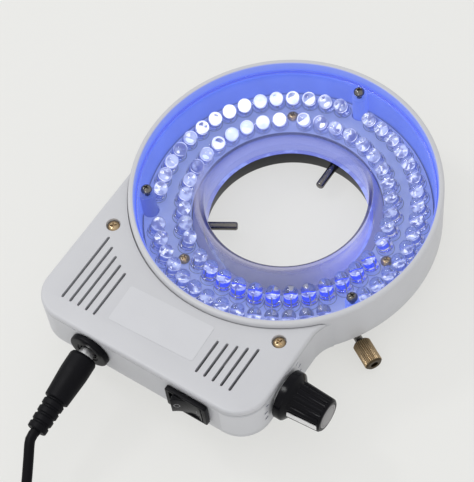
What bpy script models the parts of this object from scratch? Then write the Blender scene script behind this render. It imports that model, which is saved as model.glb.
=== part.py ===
"""LED ring light for a stereo microscope, in metres, +Z up.

The ring's axis is the parent empty's Z axis, with its zero at the housing's underside. Seen from
above, the switch box lies toward -Y, and angles run counter-clockwise from +X. The object stands
on the collar's lower face.
"""
import math

import bmesh
import bpy
from mathutils import Matrix, Vector
from mathutils.geometry import intersect_point_line

MM = 0.001

# Clearances
GAP = 0.3 * MM
OVERRUN = 3.0 * MM

# Ring housing
RING_RADIUS = 54.0 * MM
RING_HEIGHT = 19.8 * MM
RING_DRAFT = 0.3 * MM
RIM_WIDTH = 2.1 * MM
RIM_ROUND = 1.0 * MM
FOOT_ROUND = 0.8 * MM
LEDGE_WIDTH = 1.0 * MM
LEDGE_HEIGHT = 14.5 * MM
FLOOR = 1.2 * MM
BAND_WIDTH = 24.0 * MM
SPIGOT_WALL = 2.5 * MM
SPIGOT_DEPTH = 2.5 * MM
POST_RADIUS = 2.5 * MM
POST_INSET = 3.0 * MM
POST_HOLE_DEPTH = 8.0 * MM
POST_DROP = 0.1 * MM
WEB_WIDTH = 3.0 * MM
SEAT_RADIUS = 3.2 * MM
SEAT_RISE = 0.4 * MM

# Switch box
BOX_LEFT_INSET = 3.9 * MM
BOX_RIGHT_INSET = 16.0 * MM
BOX_REACH = 26.8 * MM
BOX_CORNER = 11.0 * MM
BOX_FILLET = 12.0 * MM
BOX_WALL = 2.0 * MM
COVER_TOP = 17.8 * MM
COVER_EDGE = 2.0 * MM
COVER_ROUND = 1.0 * MM
LIP_WIDTH = 1.2 * MM
LIP_DEPTH = 1.5 * MM
VENT_COUNT = 5
VENT_WIDTH = 1.0 * MM
VENT_PITCH = 3.25 * MM
VENT_LEFT_INSET = 9.2 * MM
VENT_RIGHT_INSET = 11.9 * MM
VENT_FRONT_INSET = 7.0 * MM
VENT_RING_GAP = 7.9 * MM
COVER_SCREW_LEFT_INSET = 7.5 * MM
COVER_SCREW_LEFT_RING_GAP = 5.75 * MM
COVER_SCREW_RIGHT_INSET = 7.8 * MM
COVER_SCREW_RIGHT_RING_GAP = 4.85 * MM
COVER_BOSS_RADIUS = 3.0 * MM
WIRE_SLOT_ANGLE = -100.0
WIRE_SLOT_HEIGHT = 7.0 * MM
WIRE_SLOT_RADIUS = 1.6 * MM

# Screws: head radius, head height, shank radius, shank length
WINDOW_SCREW_HEAD = 1.9 * MM
WINDOW_SCREW_HEAD_HEIGHT = 1.8 * MM
WINDOW_SCREW_SHANK = 0.9 * MM
WINDOW_SCREW_LENGTH = 8.0 * MM
BOARD_SCREW_HEAD = 2.0 * MM
BOARD_SCREW_HEAD_HEIGHT = 1.4 * MM
BOARD_SCREW_SHANK = 1.2 * MM
BOARD_SCREW_LENGTH = 7.4 * MM
COVER_SCREW_HEAD = 2.15 * MM
COVER_SCREW_HEAD_HEIGHT = 1.1 * MM
COVER_SCREW_SHANK = 1.1 * MM
COVER_SCREW_LENGTH = 9.0 * MM
DRIVER_SCREW_HEAD = 1.6 * MM
DRIVER_SCREW_HEAD_HEIGHT = 1.0 * MM
DRIVER_SCREW_SHANK = 0.8 * MM
DRIVER_SCREW_LENGTH = 3.6 * MM

# Clear window
WINDOW_THICKNESS = 1.4 * MM
WINDOW_BEND = 3.0 * MM
POST_ANGLES = (90.0, 210.0, 330.0)

# LED board
BOARD_THICKNESS = 1.6 * MM
BOARD_INNER_GAP = 3.3 * MM
BOARD_OUTER_GAP = 0.4 * MM
BOARD_SCREW_INSET = 6.7 * MM
BOARD_SCREW_ANGLES = (0.0, 120.0, 240.0)
NOTCH_CLEARANCE = 0.5 * MM
LED_RADIUS = 2.5 * MM
LED_LENGTH = 8.0 * MM
LED_LEAN = 21.0
LED_SIDES = 8
INNER_ROW_INSET = 3.9 * MM
INNER_LED_GAP = 1.265 * MM
INNER_ROW_BREAK = 8.7 * MM
OUTER_ROW_INSET = 4.1 * MM
OUTER_LED_GAP = 1.07 * MM
OUTER_ROW_BREAK = 11.9 * MM
OUTER_ROW_FEWER = (0, 1, 0)

# Mounting collar
COLLAR_RIM = 1.7 * MM
COLLAR_DEPTH = 11.0 * MM
COLLAR_CHAMFER = 0.6 * MM
EAR_RADIUS = 5.0 * MM
EAR_THICKNESS = 5.0 * MM
EAR_HOLE_DEPTH = 4.0 * MM

# Thumbscrews: each stands this far into the bore
CLAMP_HEIGHT = -6.5 * MM
CLAMP_REACHES = (10.5 * MM, 11.8 * MM, 2.5 * MM)
CLAMP_ROD_RADIUS = 1.5 * MM
CLAMP_ROD_REACH = 25.2 * MM
CLAMP_TIP_CHAMFER = 0.4 * MM
CLAMP_HEAD_RADIUS = 3.2 * MM
CLAMP_HEAD_LENGTH = 9.7 * MM
CLAMP_HEAD_CHAMFER = 0.7 * MM
CLAMP_SOCKET_DEPTH = 5.0 * MM
CLAMP_RECESS_RADIUS = 1.3 * MM
CLAMP_RECESS_DEPTH = 0.8 * MM

# Rocker switch, on the front wall
SWITCH_RISE = 0.6 * MM
BEZEL_WIDTH = 15.8 * MM
BEZEL_HEIGHT = 11.0 * MM
BEZEL_THICKNESS = 1.8 * MM
BEZEL_ROUND = 0.8 * MM
SWITCH_BODY_WIDTH = 13.2 * MM
SWITCH_BODY_HEIGHT = 8.5 * MM
SWITCH_BODY_DEPTH = 15.0 * MM
ROCKER_WIDTH = 10.8 * MM
ROCKER_HEIGHT = 6.6 * MM
ROCKER_FRONT = 3.94 * MM
ROCKER_DISH = 1.4 * MM
ROCKER_BACK = 2.0 * MM
ROCKER_SIDE_CLEARANCE = 1.0 * MM
ROCKER_PIVOT_INSET = 1.0 * MM
ROCKER_THROW = 22.0
ROCKER_PIN_RADIUS = 0.8 * MM
ROCKER_PIN_REACH = 0.8 * MM
TERMINAL_SPACING = 7.0 * MM
TERMINAL_WIDTH = 4.6 * MM
TERMINAL_THICKNESS = 0.8 * MM
TERMINAL_LENGTH = 6.0 * MM

# Dimmer, on the right wall
DIMMER_BOSS_GAP = 2.3 * MM
DIMMER_DROP = 0.7 * MM
POT_RADIUS = 5.5 * MM
POT_DEPTH = 8.0 * MM
POT_BUSHING_RADIUS = 4.0 * MM
POT_BUSHING_REACH = 2.4 * MM
POT_LUG_WIDTH = 7.0 * MM
POT_LUG_LENGTH = 2.6 * MM
POT_LUG_THICKNESS = 1.6 * MM
POT_WASHER_RADIUS = 6.4 * MM
POT_WASHER_THICKNESS = 0.5 * MM
POT_NUT_RADIUS = 5.8 * MM
POT_NUT_THICKNESS = 1.6 * MM
POT_SHAFT_RADIUS = 2.8 * MM
POT_SHAFT_REACH = 13.0 * MM
KNOB_STANDOFF = 1.2 * MM
KNOB_SKIRT_RADIUS = 8.6 * MM
KNOB_SKIRT_HEIGHT = 3.2 * MM
KNOB_SHOULDER = 1.1 * MM
KNOB_BODY_RADIUS = 6.6 * MM
KNOB_TOP_RADIUS = 5.9 * MM
KNOB_LENGTH = 16.0 * MM
KNOB_ROUND = 0.8 * MM
KNOB_RECESS_RADIUS = 7.2 * MM
KNOB_RECESS_DEPTH = 2.4 * MM
KNOB_FLUTES = 16
KNOB_FLUTE_DEPTH = 0.45 * MM
KNOB_CAP_RADIUS = 4.4 * MM
KNOB_CAP_DEPTH = 1.4 * MM
KNOB_POINTER_TURN = 10.0

# Low-voltage inlet, on the front wall
SOCKET_FLANGE_RADIUS = 7.3 * MM
SOCKET_FLANGE_THICKNESS = 2.0 * MM
SOCKET_BODY_RADIUS = 4.9 * MM
SOCKET_BODY_DEPTH = 13.0 * MM
SOCKET_BORE_RADIUS = 3.2 * MM
SOCKET_BORE_DEPTH = 10.0 * MM
SOCKET_NUT_RADIUS = 6.4 * MM
SOCKET_NUT_THICKNESS = 2.4 * MM
SOCKET_PIN_RADIUS = 1.0 * MM
SOCKET_PIN_LENGTH = 9.0 * MM

# How the width left over along the front is shared out: left of the socket, between the socket
# and the driver board, between that and the switch, and right of the switch
FRONT_SPARE_SHARES = (0.525, 0.137, 0.131, 0.207)

# Driver board, inside the box
DRIVER_FRONT_GAP = 2.3 * MM
DRIVER_BACK_GAP = 3.5 * MM
DRIVER_WIDTH = 18.0 * MM
DRIVER_RISE = 3.0 * MM
DRIVER_THICKNESS = 1.6 * MM
DRIVER_BOSS_RADIUS = 2.0 * MM
DRIVER_SCREW_INSET = 2.4 * MM
CAPACITOR_RADIUS = 3.0 * MM
CAPACITOR_HEIGHT = 7.0 * MM
COIL_CHOKE_RADIUS = 3.6 * MM
COIL_CHOKE_HEIGHT = 4.0 * MM
REGULATOR_WIDTH = 6.5 * MM
REGULATOR_DEPTH = 6.0 * MM
REGULATOR_HEIGHT = 2.3 * MM
INNER_WIRE_RADIUS = 0.7 * MM
WIRE_BEND_SHARE = 0.53

# Plug, which hangs a little askew in the inlet
PLUG_STANDOFF = 2.0 * MM
PLUG_DROOP = 6.0
PLUG_YAW = 2.0
PLUG_FACE_RADIUS = 4.9 * MM
PLUG_WAIST_RADIUS = 3.8 * MM
PLUG_END_RADIUS = 3.4 * MM
PLUG_GRIP_LENGTH = 17.5 * MM
PLUG_LENGTH = 29.2 * MM
PLUG_RIBS = 3
PLUG_RIB_DEPTH = 0.5 * MM
BARREL_RADIUS = 2.75 * MM
BARREL_BORE_RADIUS = 1.3 * MM
BARREL_LENGTH = 12.0 * MM
BARREL_SEAT_DEPTH = 2.2 * MM
BARREL_SEAT_CLEARANCE = 0.6 * MM

# Low-voltage cable: about 1.15 m in all, with a coil past the edge of the photograph
CABLE_RADIUS = 1.75 * MM
CABLE_ROUTE = (
    (-23.0 * MM, -118.6 * MM, 4.8 * MM),
    (-21.4 * MM, -122.6 * MM, 2.9 * MM),
    (-19.6 * MM, -126.4 * MM, 0.3 * MM),
    (-17.9 * MM, -130.5 * MM, -3.0 * MM),
    (-16.5 * MM, -135.0 * MM, -6.2 * MM),
    (-15.8 * MM, -140.5 * MM, -7.9 * MM),
)
COIL_CENTRE = (13.2 * MM, -154.6 * MM)
COIL_TURNS = 8.25
COIL_INNER_RADIUS = 12.4 * MM
COIL_PITCH = 4.02 * MM
COIL_LAYER_STEP = 4.0 * MM
COIL_START_ANGLE = 180.0
COIL_POINTS_PER_TURN = 24
TAIL_LENGTH = 19.0 * MM
TIE_ANGLE = 20.0
TIE_WIDTH = 3.2 * MM
TIE_THICKNESS = 0.7 * MM
TIE_KNOT = 3.0 * MM

# Plug-in adapter at the cable's far end
ADAPTER_LENGTH = 56.0 * MM
ADAPTER_WIDTH = 38.0 * MM
ADAPTER_HEIGHT = 26.0 * MM
ADAPTER_ROUND = 3.5 * MM
ADAPTER_BLADE_SPACING = 12.7 * MM
ADAPTER_BLADE_INSET = 16.0 * MM
BLADE_WIDTH = 6.3 * MM
BLADE_THICKNESS = 1.5 * MM
BLADE_LENGTH = 16.0 * MM
BLADE_SEAT_DEPTH = 4.0 * MM
RELIEF_LENGTH = 9.0 * MM
RELIEF_RADIUS = 4.0 * MM
RELIEF_END_RADIUS = 2.9 * MM
RELIEF_RIBS = 3
RELIEF_RIB_DEPTH = 0.5 * MM

# Facets of round pieces
RING_SEGMENTS = 60
COLLAR_SEGMENTS = 48
SMALL_SEGMENTS = 16
SCREW_SEGMENTS = 8
CORNER_STEPS = 5
ARC_STEPS = 2

# Places that follow from the sizes above
BORE_RADIUS = RING_RADIUS - BAND_WIDTH
RIM_INNER_RADIUS = RING_RADIUS - RIM_WIDTH
WALL_INNER_RADIUS = RIM_INNER_RADIUS - LEDGE_WIDTH
POST_PITCH_RADIUS = WALL_INNER_RADIUS - POST_INSET
SPIGOT_RADIUS = BORE_RADIUS + SPIGOT_WALL
COLLAR_RADIUS = SPIGOT_RADIUS + GAP + COLLAR_RIM
CLAMP_TIP_RADII = [BORE_RADIUS - reach for reach in CLAMP_REACHES]
BOX_LEFT = BOX_LEFT_INSET - RING_RADIUS
BOX_RIGHT = RING_RADIUS - BOX_RIGHT_INSET
BOX_FRONT = -RING_RADIUS - BOX_REACH
VENT_LEFT_X = BOX_LEFT + VENT_LEFT_INSET
VENT_RIGHT_X = BOX_RIGHT - VENT_RIGHT_INSET - VENT_PITCH * (VENT_COUNT - 1)
VENT_FRONT_Y = BOX_FRONT + VENT_FRONT_INSET
VENT_ARC_RADIUS = RING_RADIUS + VENT_RING_GAP
BOARD_INNER_RADIUS = BORE_RADIUS + BOARD_INNER_GAP
BOARD_OUTER_RADIUS = WALL_INNER_RADIUS - BOARD_OUTER_GAP
BOARD_SCREW_RADIUS = BOARD_INNER_RADIUS + BOARD_SCREW_INSET
INNER_ROW_RADIUS = BOARD_INNER_RADIUS + INNER_ROW_INSET
OUTER_ROW_RADIUS = BOARD_OUTER_RADIUS - OUTER_ROW_INSET
INNER_ROW_SPACING = LED_RADIUS * 2 + INNER_LED_GAP
OUTER_ROW_SPACING = LED_RADIUS * 2 + OUTER_LED_GAP
SOCKET_Z = COVER_TOP / 2
SWITCH_Z = SOCKET_Z + SWITCH_RISE
DIMMER_Z = SOCKET_Z - DIMMER_DROP
FRONT_TAKEN = SOCKET_NUT_RADIUS * 2 + DRIVER_WIDTH + SWITCH_BODY_WIDTH + POT_DEPTH + GAP
FRONT_SPARE = BOX_RIGHT - BOX_LEFT - BOX_WALL * 2 - FRONT_TAKEN
SOCKET_X = BOX_LEFT + BOX_WALL + FRONT_SPARE * FRONT_SPARE_SHARES[0] + SOCKET_NUT_RADIUS
DRIVER_X = SOCKET_X + SOCKET_NUT_RADIUS + FRONT_SPARE * FRONT_SPARE_SHARES[1] + DRIVER_WIDTH / 2
SWITCH_X = DRIVER_X + (DRIVER_WIDTH + SWITCH_BODY_WIDTH) / 2 + FRONT_SPARE * FRONT_SPARE_SHARES[2]
RIGHT_BOSS_X = BOX_RIGHT - COVER_SCREW_RIGHT_INSET
RIGHT_BOSS_Y = -math.sqrt((RING_RADIUS + COVER_SCREW_RIGHT_RING_GAP) ** 2 - RIGHT_BOSS_X**2)
DIMMER_Y = RIGHT_BOSS_Y - COVER_BOSS_RADIUS - DIMMER_BOSS_GAP - POT_RADIUS
DRIVER_DEPTH = BOX_REACH - BOX_WALL - DRIVER_FRONT_GAP - DRIVER_BACK_GAP
DRIVER_Y = BOX_FRONT + BOX_WALL + DRIVER_FRONT_GAP + DRIVER_DEPTH / 2
BOARD_BOTTOM = FLOOR + SEAT_RISE + GAP
BOARD_TOP = BOARD_BOTTOM + BOARD_THICKNESS
WINDOW_BOTTOM = LEDGE_HEIGHT + GAP
WINDOW_TOP = WINDOW_BOTTOM + WINDOW_THICKNESS
WALL_TOP = COVER_TOP - COVER_EDGE - GAP
COVER_BOTTOM = COVER_TOP - COVER_EDGE
COVER_HEAD_SEAT = COVER_TOP - COVER_SCREW_HEAD_HEIGHT - GAP
DRIVER_BOTTOM = FLOOR + DRIVER_RISE + GAP
DRIVER_TOP = DRIVER_BOTTOM + DRIVER_THICKNESS
ROCKER_PIVOT_Y = BOX_FRONT + ROCKER_PIVOT_INSET
KNOB_BASE = BOX_RIGHT + KNOB_STANDOFF
CABLE_DIAMETER = CABLE_RADIUS * 2
COIL_OUTER_RADIUS = COIL_INNER_RADIUS + COIL_PITCH * COIL_TURNS / 2
STANDING_HEIGHT = -COLLAR_DEPTH
COIL_LOWER_Z = STANDING_HEIGHT + TIE_THICKNESS + GAP + CABLE_RADIUS
COIL_UPPER_Z = COIL_LOWER_Z + COIL_LAYER_STEP

FINISHES = {
    "white_plastic": ((0.78, 0.79, 0.82), 0.42, 0.0, 1.0),
    "black_plastic": ((0.02, 0.02, 0.022), 0.5, 0.0, 1.0),
    "grey_plastic": ((0.62, 0.63, 0.65), 0.45, 0.0, 1.0),
    "clear_plastic": ((0.82, 0.84, 0.9), 0.05, 0.0, 0.3),
    "circuit_board": ((0.72, 0.75, 0.8), 0.5, 0.0, 1.0),
    "driver_green": ((0.03, 0.2, 0.08), 0.5, 0.0, 1.0),
    "brass": ((0.72, 0.52, 0.22), 0.32, 1.0, 1.0),
    "dark_steel": ((0.3, 0.29, 0.28), 0.28, 1.0, 1.0),
    "bright_steel": ((0.7, 0.7, 0.72), 0.25, 1.0, 1.0),
    "red_wire": ((0.5, 0.03, 0.02), 0.5, 0.0, 1.0),
    "black_rubber": ((0.018, 0.018, 0.02), 0.6, 0.0, 1.0),
}


def make_material(name, finish):
    """A Principled material from one of the finishes."""
    colour, roughness, metallic, alpha = FINISHES[finish]
    material = bpy.data.materials.new(name)
    material.use_nodes = True
    shader = material.node_tree.nodes["Principled BSDF"]
    shader.inputs["Base Color"].default_value = (*colour, 1.0)
    shader.inputs["Roughness"].default_value = roughness
    shader.inputs["Metallic"].default_value = metallic
    shader.inputs["Alpha"].default_value = alpha
    return material


def ring_direction(angle):
    """Unit vector in plan at an angle in degrees."""
    return Vector((math.cos(math.radians(angle)), math.sin(math.radians(angle)), 0))


def arc_points(centre, radius, start, sweep, steps):
    """Points on an arc, both ends included, with angles in degrees."""
    points = []
    for step in range(steps + 1):
        angle = math.radians(start + sweep * step / steps)
        points.append((centre[0] + radius * math.cos(angle), centre[1] + radius * math.sin(angle)))
    return points


def rounded_rectangle(width, height, radius):
    """Outline of a rectangle about the origin with round corners."""
    across = width / 2 - radius
    up = height / 2 - radius
    outline = []
    for quarter, (x, y) in enumerate(((across, up), (-across, up), (-across, -up), (across, -up))):
        outline += arc_points((x, y), radius, quarter * 90, 90, ARC_STEPS)
    return outline


def lofted(rings, closed=False):
    """Solid through rings of equally many points; closed joins the last ring to the first."""
    mesh = bmesh.new()
    levels = [[mesh.verts.new(point) for point in ring] for ring in rings]
    count = max(len(level) for level in levels)
    pairs = list(zip(levels, levels[1:]))
    if closed:
        pairs.append((levels[-1], levels[0]))
    for lower, upper in pairs:
        for index in range(count):
            following = (index + 1) % count
            corners = [
                lower[index % len(lower)],
                lower[following % len(lower)],
                upper[following % len(upper)],
                upper[index % len(upper)],
            ]
            corners = list(dict.fromkeys(corners))
            if len(corners) > 2:
                mesh.faces.new(corners)
    if not closed:
        for level in (levels[0], levels[-1]):
            if len(level) > 2:
                mesh.faces.new(level)
    bmesh.ops.recalc_face_normals(mesh, faces=mesh.faces)
    return mesh


def turned(profile, segments, closed=False, flutes=0):
    """Spin (radius, height) or (radius, height, flute depth) points about Z."""
    rings = []
    for radius, height, *depth in profile:
        if radius == 0:
            rings.append([(0, 0, height)])
            continue
        ring = []
        for index in range(segments):
            angle = math.tau * (index + 0.5) / segments
            reach = radius
            if depth:
                reach -= depth[0] * (1 - math.cos(flutes * angle)) / 2
            ring.append((reach * math.cos(angle), reach * math.sin(angle), height))
        rings.append(ring)
    return lofted(rings, closed)


def extruded(outline, bottom, top):
    """Solid between two heights with one plan outline."""
    return lofted([[(x, y, bottom) for x, y in outline], [(x, y, top) for x, y in outline]])


def cylinder(radius, bottom, top, segments=SMALL_SEGMENTS):
    return turned([(radius, bottom), (radius, top)], segments)


def block(low, high):
    """Box between two corners."""
    outline = [(low[0], low[1]), (high[0], low[1]), (high[0], high[1]), (low[0], high[1])]
    return extruded(outline, low[2], high[2])


def moved(mesh, x=0, y=0, z=0):
    bmesh.ops.translate(mesh, verts=mesh.verts, vec=(x, y, z))
    return mesh


def turned_to(mesh, direction):
    """Swing a mesh's Z axis to a direction."""
    turn = Vector(direction).to_track_quat("Z", "Y").to_matrix()
    bmesh.ops.rotate(mesh, verts=mesh.verts, matrix=turn)
    return mesh


def swung(mesh, angle):
    """Turn a mesh about the ring's axis."""
    turn = Matrix.Rotation(math.radians(angle), 3, "Z")
    bmesh.ops.rotate(mesh, verts=mesh.verts, matrix=turn)
    return mesh


def as_object(mesh, name):
    data = bpy.data.meshes.new(name)
    mesh.to_mesh(data)
    mesh.free()
    shape = bpy.data.objects.new(name, data)
    bpy.context.scene.collection.objects.link(shape)
    return shape


def combined(body, operation, tools):
    """Unite a mesh with, or cut it by, each of the tools."""
    base = as_object(body, "base")
    for tool in tools:
        guide = as_object(tool, "guide")
        guide.hide_render = True
        guide.display_type = "WIRE"
        modifier = base.modifiers.new(operation.lower(), "BOOLEAN")
        modifier.operation = operation
        modifier.solver = "EXACT"
        modifier.object = guide
        bpy.context.view_layer.update()
        evaluated = base.evaluated_get(bpy.context.evaluated_depsgraph_get())
        result = bpy.data.meshes.new_from_object(evaluated)
        base.modifiers.clear()
        base.data = result
        bpy.data.objects.remove(guide)
    mesh = bmesh.new()
    mesh.from_mesh(base.data)
    bpy.data.objects.remove(base)
    return mesh


def cut(body, *tools):
    return combined(body, "DIFFERENCE", tools)


def united(body, *tools):
    return combined(body, "UNION", tools)


def finished(shape, parent, finish, location, rotation):
    """Give an object its parent, its place and its material."""
    shape.parent = parent
    shape.location = location
    shape.rotation_euler = rotation
    shape.data.materials.clear()
    shape.data.materials.append(make_material(shape.name, finish))
    return shape


def place(name, mesh, parent, finish, location=(0, 0, 0), rotation=(0, 0, 0)):
    """Named object with smooth round faces and sharp corners."""
    shape = as_object(mesh, name)
    shape.data.shade_smooth()
    shape.data.set_sharp_from_angle(angle=math.radians(35))
    return finished(shape, parent, finish, location, rotation)


def smooth_route(route, spacing):
    """Points at about equal steps along a smooth curve through the route's points."""
    route = [Vector(point) for point in route]
    padded = [route[0] * 2 - route[1]] + route + [route[-1] * 2 - route[-2]]
    points = [route[0]]
    for before, start, end, after in zip(padded, padded[1:], padded[2:], padded[3:]):
        steps = max(1, round((end - start).length / spacing))
        for step in range(1, steps + 1):
            t = step / steps
            slope_in = (end - before) / 2
            slope_out = (after - start) / 2
            points.append(
                start * (2 * t**3 - 3 * t**2 + 1)
                + slope_in * (t**3 - 2 * t**2 + t)
                + end * (3 * t**2 - 2 * t**3)
                + slope_out * (t**3 - t**2)
            )
    return points


def tube(name, points, radius, parent, finish, resolution=2):
    """Round tube along points, as a curve object with filled ends."""
    curve = bpy.data.curves.new(name, "CURVE")
    curve.dimensions = "3D"
    curve.bevel_depth = radius
    curve.bevel_resolution = resolution
    curve.use_fill_caps = True
    spline = curve.splines.new("POLY")
    spline.points.add(len(points) - 1)
    for target, point in zip(spline.points, points):
        target.co = (*point, 1)
    shape = bpy.data.objects.new(name, curve)
    bpy.context.scene.collection.objects.link(shape)
    return finished(shape, parent, finish, (0, 0, 0), (0, 0, 0))


def screw(head_radius, head_height, shank_radius, length):
    """Round-headed screw, shank down, with its head's seat at zero."""
    return turned(
        [
            (0, -length),
            (shank_radius, -length),
            (shank_radius, 0),
            (head_radius, 0),
            (head_radius, head_height / 2),
            (head_radius * 2 / 3, head_height),
            (0, head_height),
        ],
        SCREW_SEGMENTS,
    )


def box_outline(inset):
    """Plan of the switch box, drawn in by inset and closed at the ring's axis."""
    left = BOX_LEFT + inset
    right = BOX_RIGHT - inset
    front = BOX_FRONT + inset
    corner = BOX_CORNER - inset
    fillet_x = BOX_RIGHT + BOX_FILLET
    fillet_y = -math.sqrt((RING_RADIUS + BOX_FILLET) ** 2 - fillet_x**2)
    toward_axis = math.degrees(math.atan2(-fillet_y, -fillet_x))
    outline = [(left, -math.sqrt(RING_RADIUS**2 - left**2))]
    outline += arc_points((left + corner, front + corner), corner, 180, 90, CORNER_STEPS)
    outline += arc_points((right - corner, front + corner), corner, 270, 90, CORNER_STEPS)
    outline += arc_points((fillet_x, fillet_y), BOX_FILLET + inset, 180, toward_axis - 180, CORNER_STEPS)
    outline.append((0, 0))
    return outline


def on_front_wall(mesh, x, z, depth=0):
    """Stand a Z-axis shape on the front wall, its +Z pointing out of the box."""
    return moved(turned_to(mesh, (0, -1, 0)), x, BOX_FRONT + depth, z)


def on_right_wall(mesh, depth=0):
    """Stand a Z-axis shape on the right wall at the dimmer, its +Z pointing out of the box."""
    return moved(turned_to(mesh, (1, 0, 0)), BOX_RIGHT + depth, DIMMER_Y, DIMMER_Z)


def cover_screw_places():
    """Centres of the left and the right cover screw, each a set distance out from the ring."""
    left = BOX_LEFT + COVER_SCREW_LEFT_INSET
    back = -math.sqrt((RING_RADIUS + COVER_SCREW_LEFT_RING_GAP) ** 2 - left**2)
    return [(left, back), (RIGHT_BOSS_X, RIGHT_BOSS_Y)]


def ring_shell():
    """The round trough, with its rim, window ledge, floor and spigot."""
    foot_radius = RING_RADIUS - RING_DRAFT
    profile = [
        (BORE_RADIUS, -SPIGOT_DEPTH),
        (SPIGOT_RADIUS, -SPIGOT_DEPTH),
        (SPIGOT_RADIUS, 0),
    ]
    profile += arc_points((foot_radius - FOOT_ROUND, FOOT_ROUND), FOOT_ROUND, -90, 90, ARC_STEPS)
    rim_centre = (RING_RADIUS - RIM_ROUND, RING_HEIGHT - RIM_ROUND)
    profile += arc_points(rim_centre, RIM_ROUND, 0, 90, ARC_STEPS)
    ease = (RIM_WIDTH - RIM_ROUND) / 2
    profile += [
        (RIM_INNER_RADIUS + ease, RING_HEIGHT),
        (RIM_INNER_RADIUS, RING_HEIGHT - ease),
        (RIM_INNER_RADIUS, LEDGE_HEIGHT),
        (WALL_INNER_RADIUS, LEDGE_HEIGHT),
        (WALL_INNER_RADIUS, FLOOR),
        (BORE_RADIUS, FLOOR),
    ]
    return turned(profile, RING_SEGMENTS, closed=True)


def box_tray():
    """Floor and walls of the switch box, open at the top and at the ring."""
    tray = extruded(box_outline(0), 0, WALL_TOP)
    pocket = extruded(box_outline(BOX_WALL), FLOOR, WALL_TOP + OVERRUN)
    ring_space = cylinder(RING_RADIUS - RIM_WIDTH / 2, -OVERRUN, WALL_TOP + OVERRUN, RING_SEGMENTS)
    return cut(tray, pocket, ring_space)


def window_post(angle, growth=0):
    """Round post with a web to the ring's wall; growth widens it into a notch's shape."""
    reach = WALL_INNER_RADIUS + LEDGE_WIDTH / 2 + growth
    outline = arc_points((POST_PITCH_RADIUS, 0), POST_RADIUS + growth, 45, 270, SCREW_SEGMENTS)
    web = WEB_WIDTH / 2 + growth
    outline += [(POST_PITCH_RADIUS + POST_RADIUS, -web), (reach, -web)]
    outline += [(reach, web), (POST_PITCH_RADIUS + POST_RADIUS, web)]
    return swung(extruded(outline, FLOOR / 2, LEDGE_HEIGHT - POST_DROP), angle)


def driver_screw_places():
    """Two opposite corners of the driver board."""
    across = DRIVER_WIDTH / 2 - DRIVER_SCREW_INSET
    along = DRIVER_DEPTH / 2 - DRIVER_SCREW_INSET
    return [(DRIVER_X - across, DRIVER_Y - along), (DRIVER_X + across, DRIVER_Y + along)]


def ring_housing(parent):
    body = united(ring_shell(), box_tray())
    pillars = [window_post(angle) for angle in POST_ANGLES]
    holes = []
    for angle in POST_ANGLES:
        x, y, _ = ring_direction(angle) * POST_PITCH_RADIUS
        pilot = cylinder(
            WINDOW_SCREW_SHANK + GAP, LEDGE_HEIGHT - POST_HOLE_DEPTH, LEDGE_HEIGHT + OVERRUN, SCREW_SEGMENTS
        )
        holes.append(moved(pilot, x, y))
    for angle in BOARD_SCREW_ANGLES:
        x, y, _ = ring_direction(angle) * BOARD_SCREW_RADIUS
        pillars.append(moved(cylinder(SEAT_RADIUS, FLOOR / 2, FLOOR + SEAT_RISE, SMALL_SEGMENTS), x, y))
        through = cylinder(BOARD_SCREW_SHANK + GAP, -OVERRUN, FLOOR + OVERRUN, SCREW_SEGMENTS)
        holes.append(moved(through, x, y))
    for x, y in cover_screw_places():
        pillars.append(moved(cylinder(COVER_BOSS_RADIUS, FLOOR / 2, WALL_TOP), x, y))
        depth = COVER_HEAD_SEAT - COVER_SCREW_LENGTH - GAP
        pilot = cylinder(COVER_SCREW_SHANK + GAP, depth, WALL_TOP + OVERRUN, SCREW_SEGMENTS)
        holes.append(moved(pilot, x, y))
    for x, y in driver_screw_places():
        top = FLOOR + DRIVER_RISE
        pillars.append(moved(cylinder(DRIVER_BOSS_RADIUS, FLOOR / 2, top, SCREW_SEGMENTS), x, y))
        depth = DRIVER_TOP - DRIVER_SCREW_LENGTH
        pilot = cylinder(DRIVER_SCREW_SHANK + GAP, depth, top + OVERRUN, SCREW_SEGMENTS)
        holes.append(moved(pilot, x, y))
    body = united(body, *pillars)
    panel = BOX_WALL + OVERRUN
    opening = rounded_rectangle(SWITCH_BODY_WIDTH + GAP, SWITCH_BODY_HEIGHT + GAP, GAP)
    holes.append(on_front_wall(extruded(opening, -panel, OVERRUN), SWITCH_X, SWITCH_Z))
    holes.append(on_front_wall(cylinder(SOCKET_BODY_RADIUS + GAP, -panel, OVERRUN), SOCKET_X, SOCKET_Z))
    holes.append(on_right_wall(cylinder(POT_BUSHING_RADIUS + GAP, -panel, OVERRUN)))
    wire_way = cylinder(WIRE_SLOT_RADIUS, WALL_INNER_RADIUS - OVERRUN, RING_RADIUS + OVERRUN, SCREW_SEGMENTS)
    wire_way = moved(turned_to(wire_way, ring_direction(WIRE_SLOT_ANGLE)), z=WIRE_SLOT_HEIGHT)
    holes.append(wire_way)
    place("ring_housing", cut(body, *holes), parent, "white_plastic")


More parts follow.
